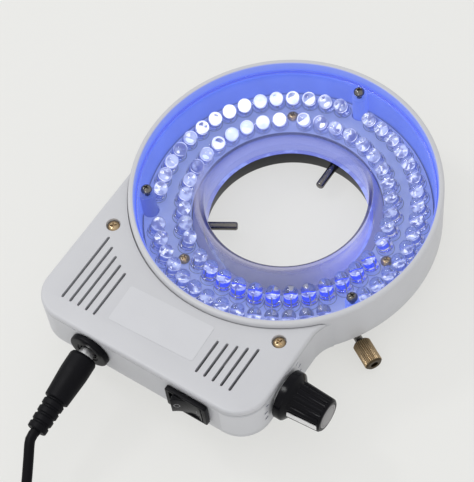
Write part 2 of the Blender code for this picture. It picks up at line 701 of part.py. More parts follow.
def box_cover(parent):
    levels = [(0, COVER_BOTTOM)]
    for x, z in arc_points((0, COVER_TOP - COVER_ROUND), COVER_ROUND, 0, 90, ARC_STEPS):
        levels.append((COVER_ROUND - x, z))
    plate = lofted([[(x, y, z) for x, y in box_outline(inset)] for inset, z in levels])
    lip_inset = BOX_WALL + GAP
    lip = extruded(box_outline(lip_inset), COVER_BOTTOM - LIP_DEPTH, COVER_BOTTOM + COVER_EDGE / 2)
    lip_core = extruded(
        box_outline(lip_inset + LIP_WIDTH), COVER_BOTTOM - LIP_DEPTH - OVERRUN, COVER_BOTTOM + COVER_EDGE
    )
    inlet_room = SOCKET_NUT_RADIUS + GAP * 2
    lip_notch = block(
        (SOCKET_X - inlet_room, BOX_FRONT, COVER_BOTTOM - LIP_DEPTH - OVERRUN),
        (SOCKET_X + inlet_room, BOX_FRONT + BOX_WALL * 3, COVER_BOTTOM + COVER_EDGE),
    )
    plate = united(plate, cut(lip, lip_core, lip_notch))
    low = COVER_BOTTOM - LIP_DEPTH - OVERRUN
    holes = [cylinder(RING_RADIUS + GAP, low, COVER_TOP + OVERRUN, RING_SEGMENTS)]
    for first in (VENT_LEFT_X, VENT_RIGHT_X):
        for index in range(VENT_COUNT):
            x = first + VENT_PITCH * index
            back = -math.sqrt(VENT_ARC_RADIUS**2 - x**2)
            half = VENT_WIDTH / 2
            holes.append(block((x - half, VENT_FRONT_Y, low), (x + half, back, COVER_TOP + OVERRUN)))
    for x, y in cover_screw_places():
        stepped = [
            (0, low),
            (COVER_SCREW_SHANK + GAP, low),
            (COVER_SCREW_SHANK + GAP, COVER_HEAD_SEAT - GAP),
            (COVER_SCREW_HEAD + GAP, COVER_HEAD_SEAT - GAP),
            (COVER_SCREW_HEAD + GAP, COVER_TOP + OVERRUN),
            (0, COVER_TOP + OVERRUN),
        ]
        holes.append(moved(turned(stepped, SMALL_SEGMENTS), x, y))
    place("box_cover", cut(plate, *holes), parent, "white_plastic")
    for side, (x, y) in zip(("left", "right"), cover_screw_places()):
        fastener = screw(COVER_SCREW_HEAD, COVER_SCREW_HEAD_HEIGHT, COVER_SCREW_SHANK, COVER_SCREW_LENGTH)
        place(f"cover_screw_{side}", fastener, parent, "brass", (x, y, COVER_HEAD_SEAT))


def clear_window(parent):
    """Flat ring over the LEDs, bent down into a tube that lines the bore."""
    outer = RIM_INNER_RADIUS - GAP
    tube_outer = BORE_RADIUS - GAP
    tube_inner = tube_outer - WINDOW_THICKNESS
    bend = (tube_inner + WINDOW_BEND, WINDOW_TOP - WINDOW_BEND)
    under_bend = WINDOW_BEND - WINDOW_THICKNESS
    profile = [(tube_inner, -SPIGOT_DEPTH), (tube_outer, -SPIGOT_DEPTH)]
    profile += arc_points(bend, under_bend, 180, -90, ARC_STEPS)
    profile += [(outer, WINDOW_BOTTOM), (outer, WINDOW_TOP)]
    profile += arc_points(bend, WINDOW_BEND, 90, 90, ARC_STEPS)
    holes = []
    for number, angle in enumerate(POST_ANGLES, 1):
        x, y, _ = ring_direction(angle) * POST_PITCH_RADIUS
        hole = cylinder(
            WINDOW_SCREW_SHANK + GAP, WINDOW_BOTTOM - OVERRUN, WINDOW_TOP + OVERRUN, SCREW_SEGMENTS
        )
        holes.append(moved(hole, x, y))
        fastener = screw(
            WINDOW_SCREW_HEAD, WINDOW_SCREW_HEAD_HEIGHT, WINDOW_SCREW_SHANK, WINDOW_SCREW_LENGTH
        )
        place(f"window_screw_{number}", fastener, parent, "dark_steel", (x, y, WINDOW_TOP + GAP))
    place("clear_window", cut(turned(profile, COLLAR_SEGMENTS, closed=True), *holes), parent, "clear_plastic")


def row_angles(radius, spacing, room, middles, fewer=(0, 0, 0)):
    """Angles of one row of LEDs: as many about each middle as leave the room between runs free."""
    pitch = math.degrees(spacing / radius)
    most = 1 + int((360 / len(middles) - math.degrees(room / radius)) / pitch)
    angles = []
    for middle, missing in zip(middles, fewer):
        count = most - missing
        for index in range(count):
            angles.append(middle + pitch * (index - (count - 1) / 2))
    return angles


def led(base_radius, angle):
    """A round-nosed LED that leans toward the ring's axis."""
    nose = LED_LENGTH - LED_RADIUS
    profile = [
        (LED_RADIUS, 0),
        (LED_RADIUS, nose),
        arc_points((0, nose), LED_RADIUS, 0, 45, 1)[1],
        (0, LED_LENGTH),
    ]
    mesh = turned(profile, LED_SIDES)
    lean = math.radians(LED_LEAN)
    turned_to(mesh, (-math.sin(lean), 0, math.cos(lean)))
    return swung(moved(mesh, base_radius, 0, BOARD_TOP), angle)


def led_board(parent):
    """Ring-shaped board with two rows of LEDs, notched round the window's posts."""
    profile = [
        (BOARD_INNER_RADIUS, BOARD_BOTTOM),
        (BOARD_OUTER_RADIUS, BOARD_BOTTOM),
        (BOARD_OUTER_RADIUS, BOARD_TOP),
        (BOARD_INNER_RADIUS, BOARD_TOP),
    ]
    holes = [window_post(angle, NOTCH_CLEARANCE) for angle in POST_ANGLES]
    for number, angle in enumerate(BOARD_SCREW_ANGLES, 1):
        x, y, _ = ring_direction(angle) * BOARD_SCREW_RADIUS
        hole = cylinder(
            BOARD_SCREW_SHANK + GAP, BOARD_BOTTOM - OVERRUN, BOARD_TOP + OVERRUN, SCREW_SEGMENTS
        )
        holes.append(moved(hole, x, y))
        fastener = screw(BOARD_SCREW_HEAD, BOARD_SCREW_HEAD_HEIGHT, BOARD_SCREW_SHANK, BOARD_SCREW_LENGTH)
        place(f"board_screw_{number}", fastener, parent, "brass", (x, y, BOARD_TOP + GAP))
    board = cut(turned(profile, RING_SEGMENTS, closed=True), *holes)
    inner_middles = [angle + 60 for angle in BOARD_SCREW_ANGLES]
    outer_middles = [angle + 60 for angle in POST_ANGLES]
    inner_angles = row_angles(INNER_ROW_RADIUS, INNER_ROW_SPACING, INNER_ROW_BREAK, inner_middles)
    outer_angles = row_angles(
        OUTER_ROW_RADIUS, OUTER_ROW_SPACING, OUTER_ROW_BREAK, outer_middles, OUTER_ROW_FEWER
    )
    crop = bmesh.new()
    for radius, angles in ((INNER_ROW_RADIUS, inner_angles), (OUTER_ROW_RADIUS, outer_angles)):
        for angle in angles:
            part = bpy.data.meshes.new("led")
            lamp = led(radius, angle)
            lamp.to_mesh(part)
            lamp.free()
            crop.from_mesh(part)
            bpy.data.meshes.remove(part)
    place("led_board", united(board, crop), parent, "circuit_board")


def mounting_collar(parent):
    """Collar that slips over the microscope's nose, with ears for the board's screws."""
    top = -GAP
    seat_radius = SPIGOT_RADIUS + GAP
    profile = [
        (BORE_RADIUS, STANDING_HEIGHT),
        (COLLAR_RADIUS - COLLAR_CHAMFER, STANDING_HEIGHT),
        (COLLAR_RADIUS, STANDING_HEIGHT + COLLAR_CHAMFER),
        (COLLAR_RADIUS, top),
        (seat_radius, top),
        (seat_radius, -SPIGOT_DEPTH - GAP),
        (BORE_RADIUS, -SPIGOT_DEPTH - GAP),
    ]
    ears = []
    holes = []
    for angle in BOARD_SCREW_ANGLES:
        outline = arc_points((BOARD_SCREW_RADIUS, 0), EAR_RADIUS, -90, 180, SCREW_SEGMENTS)
        root = (seat_radius + COLLAR_RADIUS) / 2
        outline += [(root, EAR_RADIUS), (root, -EAR_RADIUS)]
        ears.append(swung(extruded(outline, -EAR_THICKNESS, top), angle))
        x, y, _ = ring_direction(angle) * BOARD_SCREW_RADIUS
        hole = cylinder(BOARD_SCREW_SHANK + GAP, top - EAR_HOLE_DEPTH, OVERRUN, SCREW_SEGMENTS)
        holes.append(moved(hole, x, y))
    for angle in POST_ANGLES:
        way = cylinder(
            CLAMP_ROD_RADIUS + GAP, BORE_RADIUS - OVERRUN, COLLAR_RADIUS + OVERRUN, SCREW_SEGMENTS
        )
        holes.append(moved(turned_to(way, ring_direction(angle)), z=CLAMP_HEIGHT))
    collar = united(turned(profile, COLLAR_SEGMENTS, closed=True), *ears)
    place("mounting_collar", cut(collar, *holes), parent, "black_plastic")


def thumbscrews(parent):
    """Three radial screws; each one's tip is its origin and its axis is local Z, outward."""
    rod_end = CLAMP_ROD_REACH + CLAMP_SOCKET_DEPTH - GAP
    rod_profile = [
        (0, 0),
        (CLAMP_ROD_RADIUS - CLAMP_TIP_CHAMFER, 0),
        (CLAMP_ROD_RADIUS, CLAMP_TIP_CHAMFER),
        (CLAMP_ROD_RADIUS, rod_end),
        (0, rod_end),
    ]
    end = CLAMP_ROD_REACH + CLAMP_HEAD_LENGTH
    bore = CLAMP_ROD_RADIUS + GAP
    head_profile = [
        (0, CLAMP_ROD_REACH + CLAMP_SOCKET_DEPTH),
        (bore, CLAMP_ROD_REACH + CLAMP_SOCKET_DEPTH),
        (bore, CLAMP_ROD_REACH),
        (CLAMP_HEAD_RADIUS - CLAMP_HEAD_CHAMFER, CLAMP_ROD_REACH),
        (CLAMP_HEAD_RADIUS, CLAMP_ROD_REACH + CLAMP_HEAD_CHAMFER),
        (CLAMP_HEAD_RADIUS, end - CLAMP_HEAD_CHAMFER),
        (CLAMP_HEAD_RADIUS - CLAMP_HEAD_CHAMFER, end),
        (CLAMP_RECESS_RADIUS, end),
        (CLAMP_RECESS_RADIUS, end - CLAMP_RECESS_DEPTH),
        (0, end - CLAMP_RECESS_DEPTH),
    ]
    for number, (angle, radius) in enumerate(zip(POST_ANGLES, CLAMP_TIP_RADII), 1):
        direction = ring_direction(angle)
        location = direction * radius + Vector((0, 0, CLAMP_HEIGHT))
        rotation = direction.to_track_quat("Z", "Y").to_euler()
        place(f"clamp_rod_{number}", turned(rod_profile, SCREW_SEGMENTS), parent, "dark_steel", location, rotation)
        place(f"clamp_head_{number}", turned(head_profile, SMALL_SEGMENTS), parent, "brass", location, rotation)


def rocker_switch(parent):
    """Frame clipped into the front wall, with a rocker on a vertical pin."""
    bezel = extruded(rounded_rectangle(BEZEL_WIDTH, BEZEL_HEIGHT, BEZEL_ROUND), GAP, GAP + BEZEL_THICKNESS)
    body = extruded(
        rounded_rectangle(SWITCH_BODY_WIDTH - GAP, SWITCH_BODY_HEIGHT - GAP, GAP),
        -SWITCH_BODY_DEPTH,
        GAP + BEZEL_THICKNESS / 2,
    )
    frame = on_front_wall(united(bezel, body), SWITCH_X, SWITCH_Z)
    half_wide = ROCKER_WIDTH / 2 + ROCKER_SIDE_CLEARANCE
    half_high = ROCKER_HEIGHT / 2 + GAP
    swing = ROCKER_WIDTH / 2 * math.sin(math.radians(ROCKER_THROW / 2))
    room = block(
        (SWITCH_X - half_wide, BOX_FRONT - BEZEL_THICKNESS - OVERRUN, SWITCH_Z - half_high),
        (SWITCH_X + half_wide, ROCKER_PIVOT_Y + ROCKER_BACK + swing + GAP, SWITCH_Z + half_high),
    )
    pin_reach = ROCKER_HEIGHT / 2 + ROCKER_PIN_REACH
    pin_room = cylinder(ROCKER_PIN_RADIUS + GAP, -pin_reach - GAP, pin_reach + GAP, SCREW_SEGMENTS)
    moved(pin_room, SWITCH_X, ROCKER_PIVOT_Y, SWITCH_Z)
    place("switch_frame", cut(frame, room, pin_room), parent, "black_plastic")

    half = ROCKER_WIDTH / 2
    dish_radius = (half**2 + ROCKER_DISH**2) / (2 * ROCKER_DISH)
    spread = math.degrees(math.asin(half / dish_radius))
    dish_centre = (0, ROCKER_DISH - ROCKER_FRONT - dish_radius)
    outline = arc_points(dish_centre, dish_radius, 90 + spread, -2 * spread, CORNER_STEPS)
    outline += [(half, ROCKER_BACK / 2), (half / 2, ROCKER_BACK), (-half / 2, ROCKER_BACK), (-half, ROCKER_BACK / 2)]
    rocker = extruded(outline, -ROCKER_HEIGHT / 2, ROCKER_HEIGHT / 2)
    rocker = united(rocker, cylinder(ROCKER_PIN_RADIUS, -pin_reach, pin_reach, SCREW_SEGMENTS))
    rest = (0, 0, math.radians(ROCKER_THROW / 2))
    place("switch_rocker", rocker, parent, "black_plastic", (SWITCH_X, ROCKER_PIVOT_Y, SWITCH_Z), rest)

    back = BOX_FRONT + SWITCH_BODY_DEPTH + GAP
    for number, side in ((1, -1), (2, 1)):
        blade = block(
            (-TERMINAL_THICKNESS / 2, 0, -TERMINAL_WIDTH / 2),
            (TERMINAL_THICKNESS / 2, TERMINAL_LENGTH, TERMINAL_WIDTH / 2),
        )
        x = SWITCH_X + side * TERMINAL_SPACING / 2
        place(f"switch_terminal_{number}", blade, parent, "bright_steel", (x, back, SWITCH_Z))


def dimmer(parent):
    """Potentiometer behind the right wall, with its nut, shaft and fluted knob outside."""
    back = -BOX_WALL - GAP - POT_DEPTH
    bore = POT_SHAFT_RADIUS + GAP
    pot_profile = [
        (0, back),
        (POT_RADIUS, back),
        (POT_RADIUS, -BOX_WALL - GAP),
        (POT_BUSHING_RADIUS, -BOX_WALL - GAP),
        (POT_BUSHING_RADIUS, POT_BUSHING_REACH),
        (bore, POT_BUSHING_REACH),
        (bore, back / 2),
        (0, back / 2),
    ]
    pot = on_right_wall(turned(pot_profile, SMALL_SEGMENTS))
    lug_x = BOX_RIGHT + back
    lugs = block(
        (lug_x, DIMMER_Y - POT_RADIUS - POT_LUG_LENGTH, DIMMER_Z - POT_LUG_WIDTH / 2),
        (lug_x + POT_LUG_THICKNESS, DIMMER_Y - POT_RADIUS / 2, DIMMER_Z + POT_LUG_WIDTH / 2),
    )
    place("pot_body", united(pot, lugs), parent, "bright_steel")

    washer_top = GAP + POT_WASHER_THICKNESS
    nut_bore = POT_BUSHING_RADIUS + GAP
    washer = turned(
        [(nut_bore, GAP), (POT_WASHER_RADIUS, GAP), (POT_WASHER_RADIUS, washer_top), (nut_bore, washer_top)],
        SMALL_SEGMENTS,
        closed=True,
    )
    nut = cylinder(POT_NUT_RADIUS, washer_top - POT_WASHER_THICKNESS / 2, washer_top + POT_NUT_THICKNESS, 6)
    nut = cut(nut, cylinder(nut_bore, -OVERRUN, washer_top + POT_NUT_THICKNESS + OVERRUN))
    place("pot_nut", on_right_wall(united(washer, nut)), parent, "bright_steel")

    axis = (BOX_RIGHT, DIMMER_Y, DIMMER_Z)
    along = (0, math.radians(90), 0)
    shaft = cylinder(POT_SHAFT_RADIUS, back / 2 + GAP, POT_SHAFT_REACH)
    place("pot_shaft", shaft, parent, "bright_steel", axis, along)

    base = KNOB_STANDOFF
    shoulder = base + KNOB_SKIRT_HEIGHT
    top = base + KNOB_LENGTH
    hub_bottom = base + KNOB_RECESS_DEPTH
    cap_seat = KNOB_CAP_RADIUS + GAP
    knob_profile = [
        (0, POT_SHAFT_REACH + GAP, 0),
        (bore, POT_SHAFT_REACH + GAP, 0),
        (bore, hub_bottom, 0),
        (KNOB_RECESS_RADIUS, hub_bottom, 0),
        (KNOB_RECESS_RADIUS, base, 0),
        (KNOB_SKIRT_RADIUS, base, 0),
        (KNOB_SKIRT_RADIUS, shoulder - KNOB_SHOULDER / 2, 0),
        (KNOB_BODY_RADIUS + KNOB_SHOULDER / 2, shoulder + KNOB_SHOULDER / 2, 0),
        (KNOB_BODY_RADIUS, shoulder + KNOB_SHOULDER, KNOB_FLUTE_DEPTH),
        (KNOB_TOP_RADIUS, top - KNOB_ROUND, KNOB_FLUTE_DEPTH),
        (KNOB_TOP_RADIUS - KNOB_ROUND, top, 0),
        (cap_seat, top, 0),
        (cap_seat, top - KNOB_CAP_DEPTH, 0),
        (0, top - KNOB_CAP_DEPTH, 0),
    ]
    turn = (0, math.radians(90), 0)
    knob = turned(knob_profile, KNOB_FLUTES * 3, flutes=KNOB_FLUTES)
    place("dimmer_knob", knob, parent, "black_plastic", axis, turn)
    cap_bottom = top - KNOB_CAP_DEPTH + GAP
    cap = turned(
        [(0, cap_bottom), (KNOB_CAP_RADIUS, cap_bottom), (KNOB_CAP_RADIUS, top), (0, top + GAP)],
        SMALL_SEGMENTS,
    )
    place("knob_cap", cap, parent, "grey_plastic", axis, turn)


def inlet(parent):
    """Panel socket with a flange outside the front wall and a nut inside it."""
    flange_top = GAP + SOCKET_FLANGE_THICKNESS
    bore_end = flange_top - SOCKET_BORE_DEPTH
    profile = [
        (0, -SOCKET_BODY_DEPTH),
        (SOCKET_BODY_RADIUS, -SOCKET_BODY_DEPTH),
        (SOCKET_BODY_RADIUS, GAP),
        (SOCKET_FLANGE_RADIUS, GAP),
        (SOCKET_FLANGE_RADIUS, flange_top - SOCKET_FLANGE_THICKNESS / 4),
        (SOCKET_FLANGE_RADIUS - SOCKET_FLANGE_THICKNESS / 4, flange_top),
        (SOCKET_BORE_RADIUS, flange_top),
        (SOCKET_BORE_RADIUS, bore_end),
        (0, bore_end),
    ]
    place("socket_body", on_front_wall(turned(profile, SMALL_SEGMENTS), SOCKET_X, SOCKET_Z), parent, "black_plastic")
    inside = -BOX_WALL - GAP
    nut = cylinder(SOCKET_NUT_RADIUS, inside - SOCKET_NUT_THICKNESS, inside, 6)
    nut = cut(nut, cylinder(SOCKET_BODY_RADIUS + GAP, inside - SOCKET_NUT_THICKNESS - OVERRUN, OVERRUN))
    place("socket_nut", on_front_wall(nut, SOCKET_X, SOCKET_Z), parent, "bright_steel")
    pin = cylinder(SOCKET_PIN_RADIUS, bore_end + GAP, bore_end + SOCKET_PIN_LENGTH, SCREW_SEGMENTS)
    place("socket_pin", on_front_wall(pin, SOCKET_X, SOCKET_Z), parent, "bright_steel")


def driver_board(parent):
    """Small current driver on two bosses of the box's floor."""
    low = (DRIVER_X - DRIVER_WIDTH / 2, DRIVER_Y - DRIVER_DEPTH / 2, DRIVER_BOTTOM)
    high = (DRIVER_X + DRIVER_WIDTH / 2, DRIVER_Y + DRIVER_DEPTH / 2, DRIVER_TOP)
    seat = DRIVER_TOP - DRIVER_THICKNESS / 2
    capacitor = cylinder(CAPACITOR_RADIUS, seat, DRIVER_TOP + CAPACITOR_HEIGHT)
    moved(capacitor, DRIVER_X + DRIVER_WIDTH / 4, DRIVER_Y - DRIVER_DEPTH / 4)
    choke = cylinder(COIL_CHOKE_RADIUS, seat, DRIVER_TOP + COIL_CHOKE_HEIGHT)
    moved(choke, DRIVER_X, DRIVER_Y + DRIVER_DEPTH / 5)
    chip_x = low[0] + REGULATOR_WIDTH
    chip = block(
        (chip_x - REGULATOR_WIDTH / 2, DRIVER_Y - REGULATOR_DEPTH, seat),
        (chip_x + REGULATOR_WIDTH / 2, DRIVER_Y, DRIVER_TOP + REGULATOR_HEIGHT),
    )
    board = united(block(low, high), capacitor, choke, chip)
    holes = []
    for number, (x, y) in enumerate(driver_screw_places(), 1):
        hole = cylinder(DRIVER_SCREW_SHANK + GAP, DRIVER_BOTTOM - OVERRUN, DRIVER_TOP + OVERRUN, SCREW_SEGMENTS)
        holes.append(moved(hole, x, y))
        fastener = screw(DRIVER_SCREW_HEAD, DRIVER_SCREW_HEAD_HEIGHT, DRIVER_SCREW_SHANK, DRIVER_SCREW_LENGTH)
        place(f"driver_screw_{number}", fastener, parent, "bright_steel", (x, y, DRIVER_TOP + GAP))
    place("driver_board", cut(board, *holes), parent, "driver_green")


def inner_wires(parent):
    """Leads between the inlet, the switch, the dimmer, the driver and the LED board."""
    lift = GAP + INNER_WIRE_RADIUS
    bend = INNER_WIRE_RADIUS * 4
    terminal_end = BOX_FRONT + SWITCH_BODY_DEPTH + GAP + TERMINAL_LENGTH + GAP
    left_terminal = Vector((SWITCH_X - TERMINAL_SPACING / 2, terminal_end, SWITCH_Z))
    right_terminal = Vector((SWITCH_X + TERMINAL_SPACING / 2, terminal_end, SWITCH_Z))
    socket_back = BOX_FRONT + SOCKET_BODY_DEPTH + GAP
    upper_lug = Vector((SOCKET_X, socket_back, SOCKET_Z + INNER_WIRE_RADIUS * 3))
    lower_lug = Vector((SOCKET_X, socket_back, SOCKET_Z - INNER_WIRE_RADIUS * 3))
    board_left = DRIVER_X - DRIVER_WIDTH / 2
    board_right = DRIVER_X + DRIVER_WIDTH / 2
    board_back = DRIVER_Y + DRIVER_DEPTH / 2
    behind = -math.sqrt(RING_RADIUS**2 - left_terminal.x**2) - terminal_end
    back = Vector((0, (behind - lift) * WIRE_BEND_SHARE, 0))
    over = Vector((0, 0, bend))
    high = DRIVER_TOP + COIL_CHOKE_HEIGHT + lift * 2
    routes = {
        "wire_inlet_switch": (
            upper_lug,
            upper_lug + back,
            Vector((board_left, board_back - bend, high)),
            Vector((board_right, board_back, high)),
            left_terminal + back,
            left_terminal,
        ),
        "wire_inlet_driver": (
            lower_lug,
            lower_lug + back,
            Vector((board_left - bend, DRIVER_Y, DRIVER_TOP + bend)),
            Vector((board_left - lift, DRIVER_Y, DRIVER_TOP - DRIVER_THICKNESS / 2)),
        ),
        "wire_switch_driver": (
            right_terminal,
            right_terminal + back,
            Vector((SWITCH_X, terminal_end + back.y, SWITCH_Z - bend)),
            Vector((board_right + bend * 2, board_back, DRIVER_TOP)),
            Vector((board_right + lift, DRIVER_Y, DRIVER_TOP - DRIVER_THICKNESS / 2)),
        ),
    }
    for name, route in routes.items():
        points = smooth_route(route, INNER_WIRE_RADIUS * 5)
        tube(name, points, INNER_WIRE_RADIUS, parent, "red_wire", resolution=1)
    lug_end = DIMMER_Y - POT_RADIUS - POT_LUG_LENGTH - lift
    lug = Vector((BOX_RIGHT - BOX_WALL - POT_DEPTH, lug_end, DIMMER_Z))
    over_board = Vector((board_right - bend, DRIVER_Y + DRIVER_DEPTH / 4, DRIVER_TOP + lift))
    dimmer_route = (
        lug,
        lug + Vector((-bend / 2, 0, -bend)),
        Vector((SWITCH_X, lug_end, FLOOR + lift * 2)),
        Vector((board_right + bend, DRIVER_Y, FLOOR + lift * 2)),
        Vector((board_right + lift, DRIVER_Y - bend, DRIVER_BOTTOM)),
    )
    tube("wire_dimmer", smooth_route(dimmer_route, INNER_WIRE_RADIUS * 5), INNER_WIRE_RADIUS, parent, "grey_plastic", 1)
    slot = ring_direction(WIRE_SLOT_ANGLE)
    level = Vector((0, 0, WIRE_SLOT_HEIGHT))
    pad_radius = WALL_INNER_RADIUS - lift
    led_route = (
        Vector((over_board.x - DRIVER_WIDTH / 2, board_back + lift, DRIVER_TOP)),
        slot * (RING_RADIUS + bend / 3) + level,
        slot * RING_RADIUS + level,
        slot * WALL_INNER_RADIUS + level,
        slot * pad_radius + Vector((0, 0, BOARD_TOP + GAP)) + over / 3,
        slot * pad_radius + Vector((0, 0, BOARD_TOP + GAP)),
    )
    tube("wire_leds", smooth_route(led_route, INNER_WIRE_RADIUS * 4), INNER_WIRE_RADIUS * 2 / 3, parent, "red_wire", 1)


def plug_heading():
    """Direction from the plug's face to its cable end."""
    droop = math.radians(PLUG_DROOP)
    yaw = math.radians(PLUG_YAW)
    return Vector((math.sin(yaw) * math.cos(droop), -math.cos(yaw) * math.cos(droop), -math.sin(droop)))


def plug_face():
    return Vector((SOCKET_X, BOX_FRONT - GAP - SOCKET_FLANGE_THICKNESS - PLUG_STANDOFF, SOCKET_Z))


def ribbed(start, end, length, ribs, rib_depth):
    """Profile points of a tapering grip with raised ribs between two radii."""
    points = []
    for index in range(ribs * 2 + 1):
        share = index / (ribs * 2)
        radius = start + (end - start) * share
        groove = rib_depth if index % 2 else 0
        points.append((radius - groove, length * share))
    return points


def plug(parent):
    """Moulded plug whose metal barrel stands in the inlet."""
    heading = plug_heading()
    face = plug_face()
    seat_radius = BARREL_RADIUS + BARREL_SEAT_CLEARANCE
    profile = [
        (0, BARREL_SEAT_DEPTH),
        (seat_radius, BARREL_SEAT_DEPTH),
        (seat_radius, 0),
        (PLUG_FACE_RADIUS - PLUG_RIB_DEPTH, 0),
        (PLUG_FACE_RADIUS, PLUG_RIB_DEPTH),
        (PLUG_WAIST_RADIUS, PLUG_GRIP_LENGTH),
    ]
    strain = ribbed(PLUG_WAIST_RADIUS, PLUG_END_RADIUS, PLUG_LENGTH - PLUG_GRIP_LENGTH, PLUG_RIBS, PLUG_RIB_DEPTH)
    for radius, along in strain[1:]:
        profile.append((radius, PLUG_GRIP_LENGTH + along))
    profile.append((0, PLUG_LENGTH))
    rotation = heading.to_track_quat("Z", "Y").to_euler()
    place("plug_body", turned(profile, SMALL_SEGMENTS), parent, "black_rubber", face, rotation)
    inward = BARREL_LENGTH - BARREL_SEAT_DEPTH
    ring = [
        (BARREL_BORE_RADIUS, -inward),
        (BARREL_RADIUS, -inward),
        (BARREL_RADIUS, BARREL_SEAT_DEPTH - GAP * 2),
        (BARREL_BORE_RADIUS, BARREL_SEAT_DEPTH - GAP * 2),
    ]
    outward = Vector((0, -1, 0)).to_track_quat("Z", "Y").to_euler()
    place("plug_barrel", turned(ring, SMALL_SEGMENTS, closed=True), parent, "bright_steel", face, outward)


def coil_points():
    """Two layers of loops: in along the lower one, up half way, and out along the upper."""
    points = []
    count = round(COIL_TURNS * COIL_POINTS_PER_TURN)
    middle = COIL_TURNS / 2
    for index in range(count + 1):
        turns = COIL_TURNS * index / count
        radius = COIL_INNER_RADIUS + COIL_PITCH * abs(turns - middle)
        climb = min(1, max(0, (turns - middle) * 2 + 0.5))
        rise = climb * climb * (3 - 2 * climb)
        angle = math.radians(COIL_START_ANGLE) + math.tau * turns
        points.append(
            Vector(
                (
                    COIL_CENTRE[0] + radius * math.cos(angle),
                    COIL_CENTRE[1] + radius * math.sin(angle),
                    COIL_LOWER_Z + COIL_LAYER_STEP * rise,
                )
            )
        )
    first = points[0] + Vector((0, CABLE_DIAMETER, 0))
    last = points[-1] + Vector((CABLE_DIAMETER, 0, 0))
    return [first] + points + [last]


def least_gap(points, diameter, skipped):
    """Least clear distance of a tube to itself, past the neighbours along its length."""
    least = None
    for index, point in enumerate(points):
        for other in range(index + skipped, len(points) - 1):
            near, share = intersect_point_line(point, points[other], points[other + 1])
            near = points[other] if share < 0 else points[other + 1] if share > 1 else near
            distance = (point - near).length - diameter
            if least is None or distance < least:
                least = distance
    return least


def cable_tie(parent):
    """Band round all the coil's loops, with its twisted ends on top."""
    radial = COIL_OUTER_RADIUS - COIL_INNER_RADIUS + CABLE_DIAMETER + GAP * 2
    height = COIL_LAYER_STEP + CABLE_DIAMETER + GAP * 2
    inner = rounded_rectangle(radial, height, CABLE_RADIUS)
    wide = radial + TIE_THICKNESS * 2
    tall = height + TIE_THICKNESS * 2
    outer = rounded_rectangle(wide, tall, CABLE_RADIUS + TIE_THICKNESS)
    band = extruded(outer, -TIE_WIDTH / 2, TIE_WIDTH / 2)
    band = cut(band, extruded(inner, -TIE_WIDTH, TIE_WIDTH))
    knot = cylinder(TIE_THICKNESS, 0, TIE_KNOT, SCREW_SEGMENTS)
    knot = moved(turned_to(knot, (0, 1, 0)), y=tall / 2 - TIE_THICKNESS / 2)
    band = united(band, knot)
    middle_radius = (COIL_OUTER_RADIUS + COIL_INNER_RADIUS) / 2
    outward = ring_direction(TIE_ANGLE)
    location = Vector((*COIL_CENTRE, (COIL_LOWER_Z + COIL_UPPER_Z) / 2)) + outward * middle_radius
    rotation = (math.radians(90), 0, math.radians(TIE_ANGLE))
    place("cable_tie", band, parent, "black_plastic", location, rotation)


def cable(parent):
    """Lead from the plug to the coil, the coil, and the tail to the adapter."""
    heading = plug_heading()
    start = plug_face() + heading * (PLUG_LENGTH + GAP)
    loops = coil_points()
    arrival = loops[0] + Vector((0, GAP, 0))
    route = [start, start + heading * CABLE_DIAMETER]
    route += [Vector(point) for point in CABLE_ROUTE]
    route += [arrival + Vector((0, CABLE_DIAMETER, 0)), arrival]
    tube("cable_lead", smooth_route(route, CABLE_DIAMETER), CABLE_RADIUS, parent, "black_rubber")
    tube("cable_coil", loops, CABLE_RADIUS, parent, "black_rubber", resolution=1)
    tail_start = loops[-1] + Vector((GAP, 0, 0))
    tail_end = tail_start + Vector((TAIL_LENGTH, 0, 0))
    tube(
        "cable_tail", smooth_route([tail_start, tail_end], CABLE_DIAMETER * 2), CABLE_RADIUS, parent, "black_rubber"
    )
    cable_tie(parent)
    gap = least_gap(loops, CABLE_DIAMETER, COIL_POINTS_PER_TURN // 2)
    print(f"cable_coil: least gap to itself {gap / MM:.2f} mm")
    return tail_end


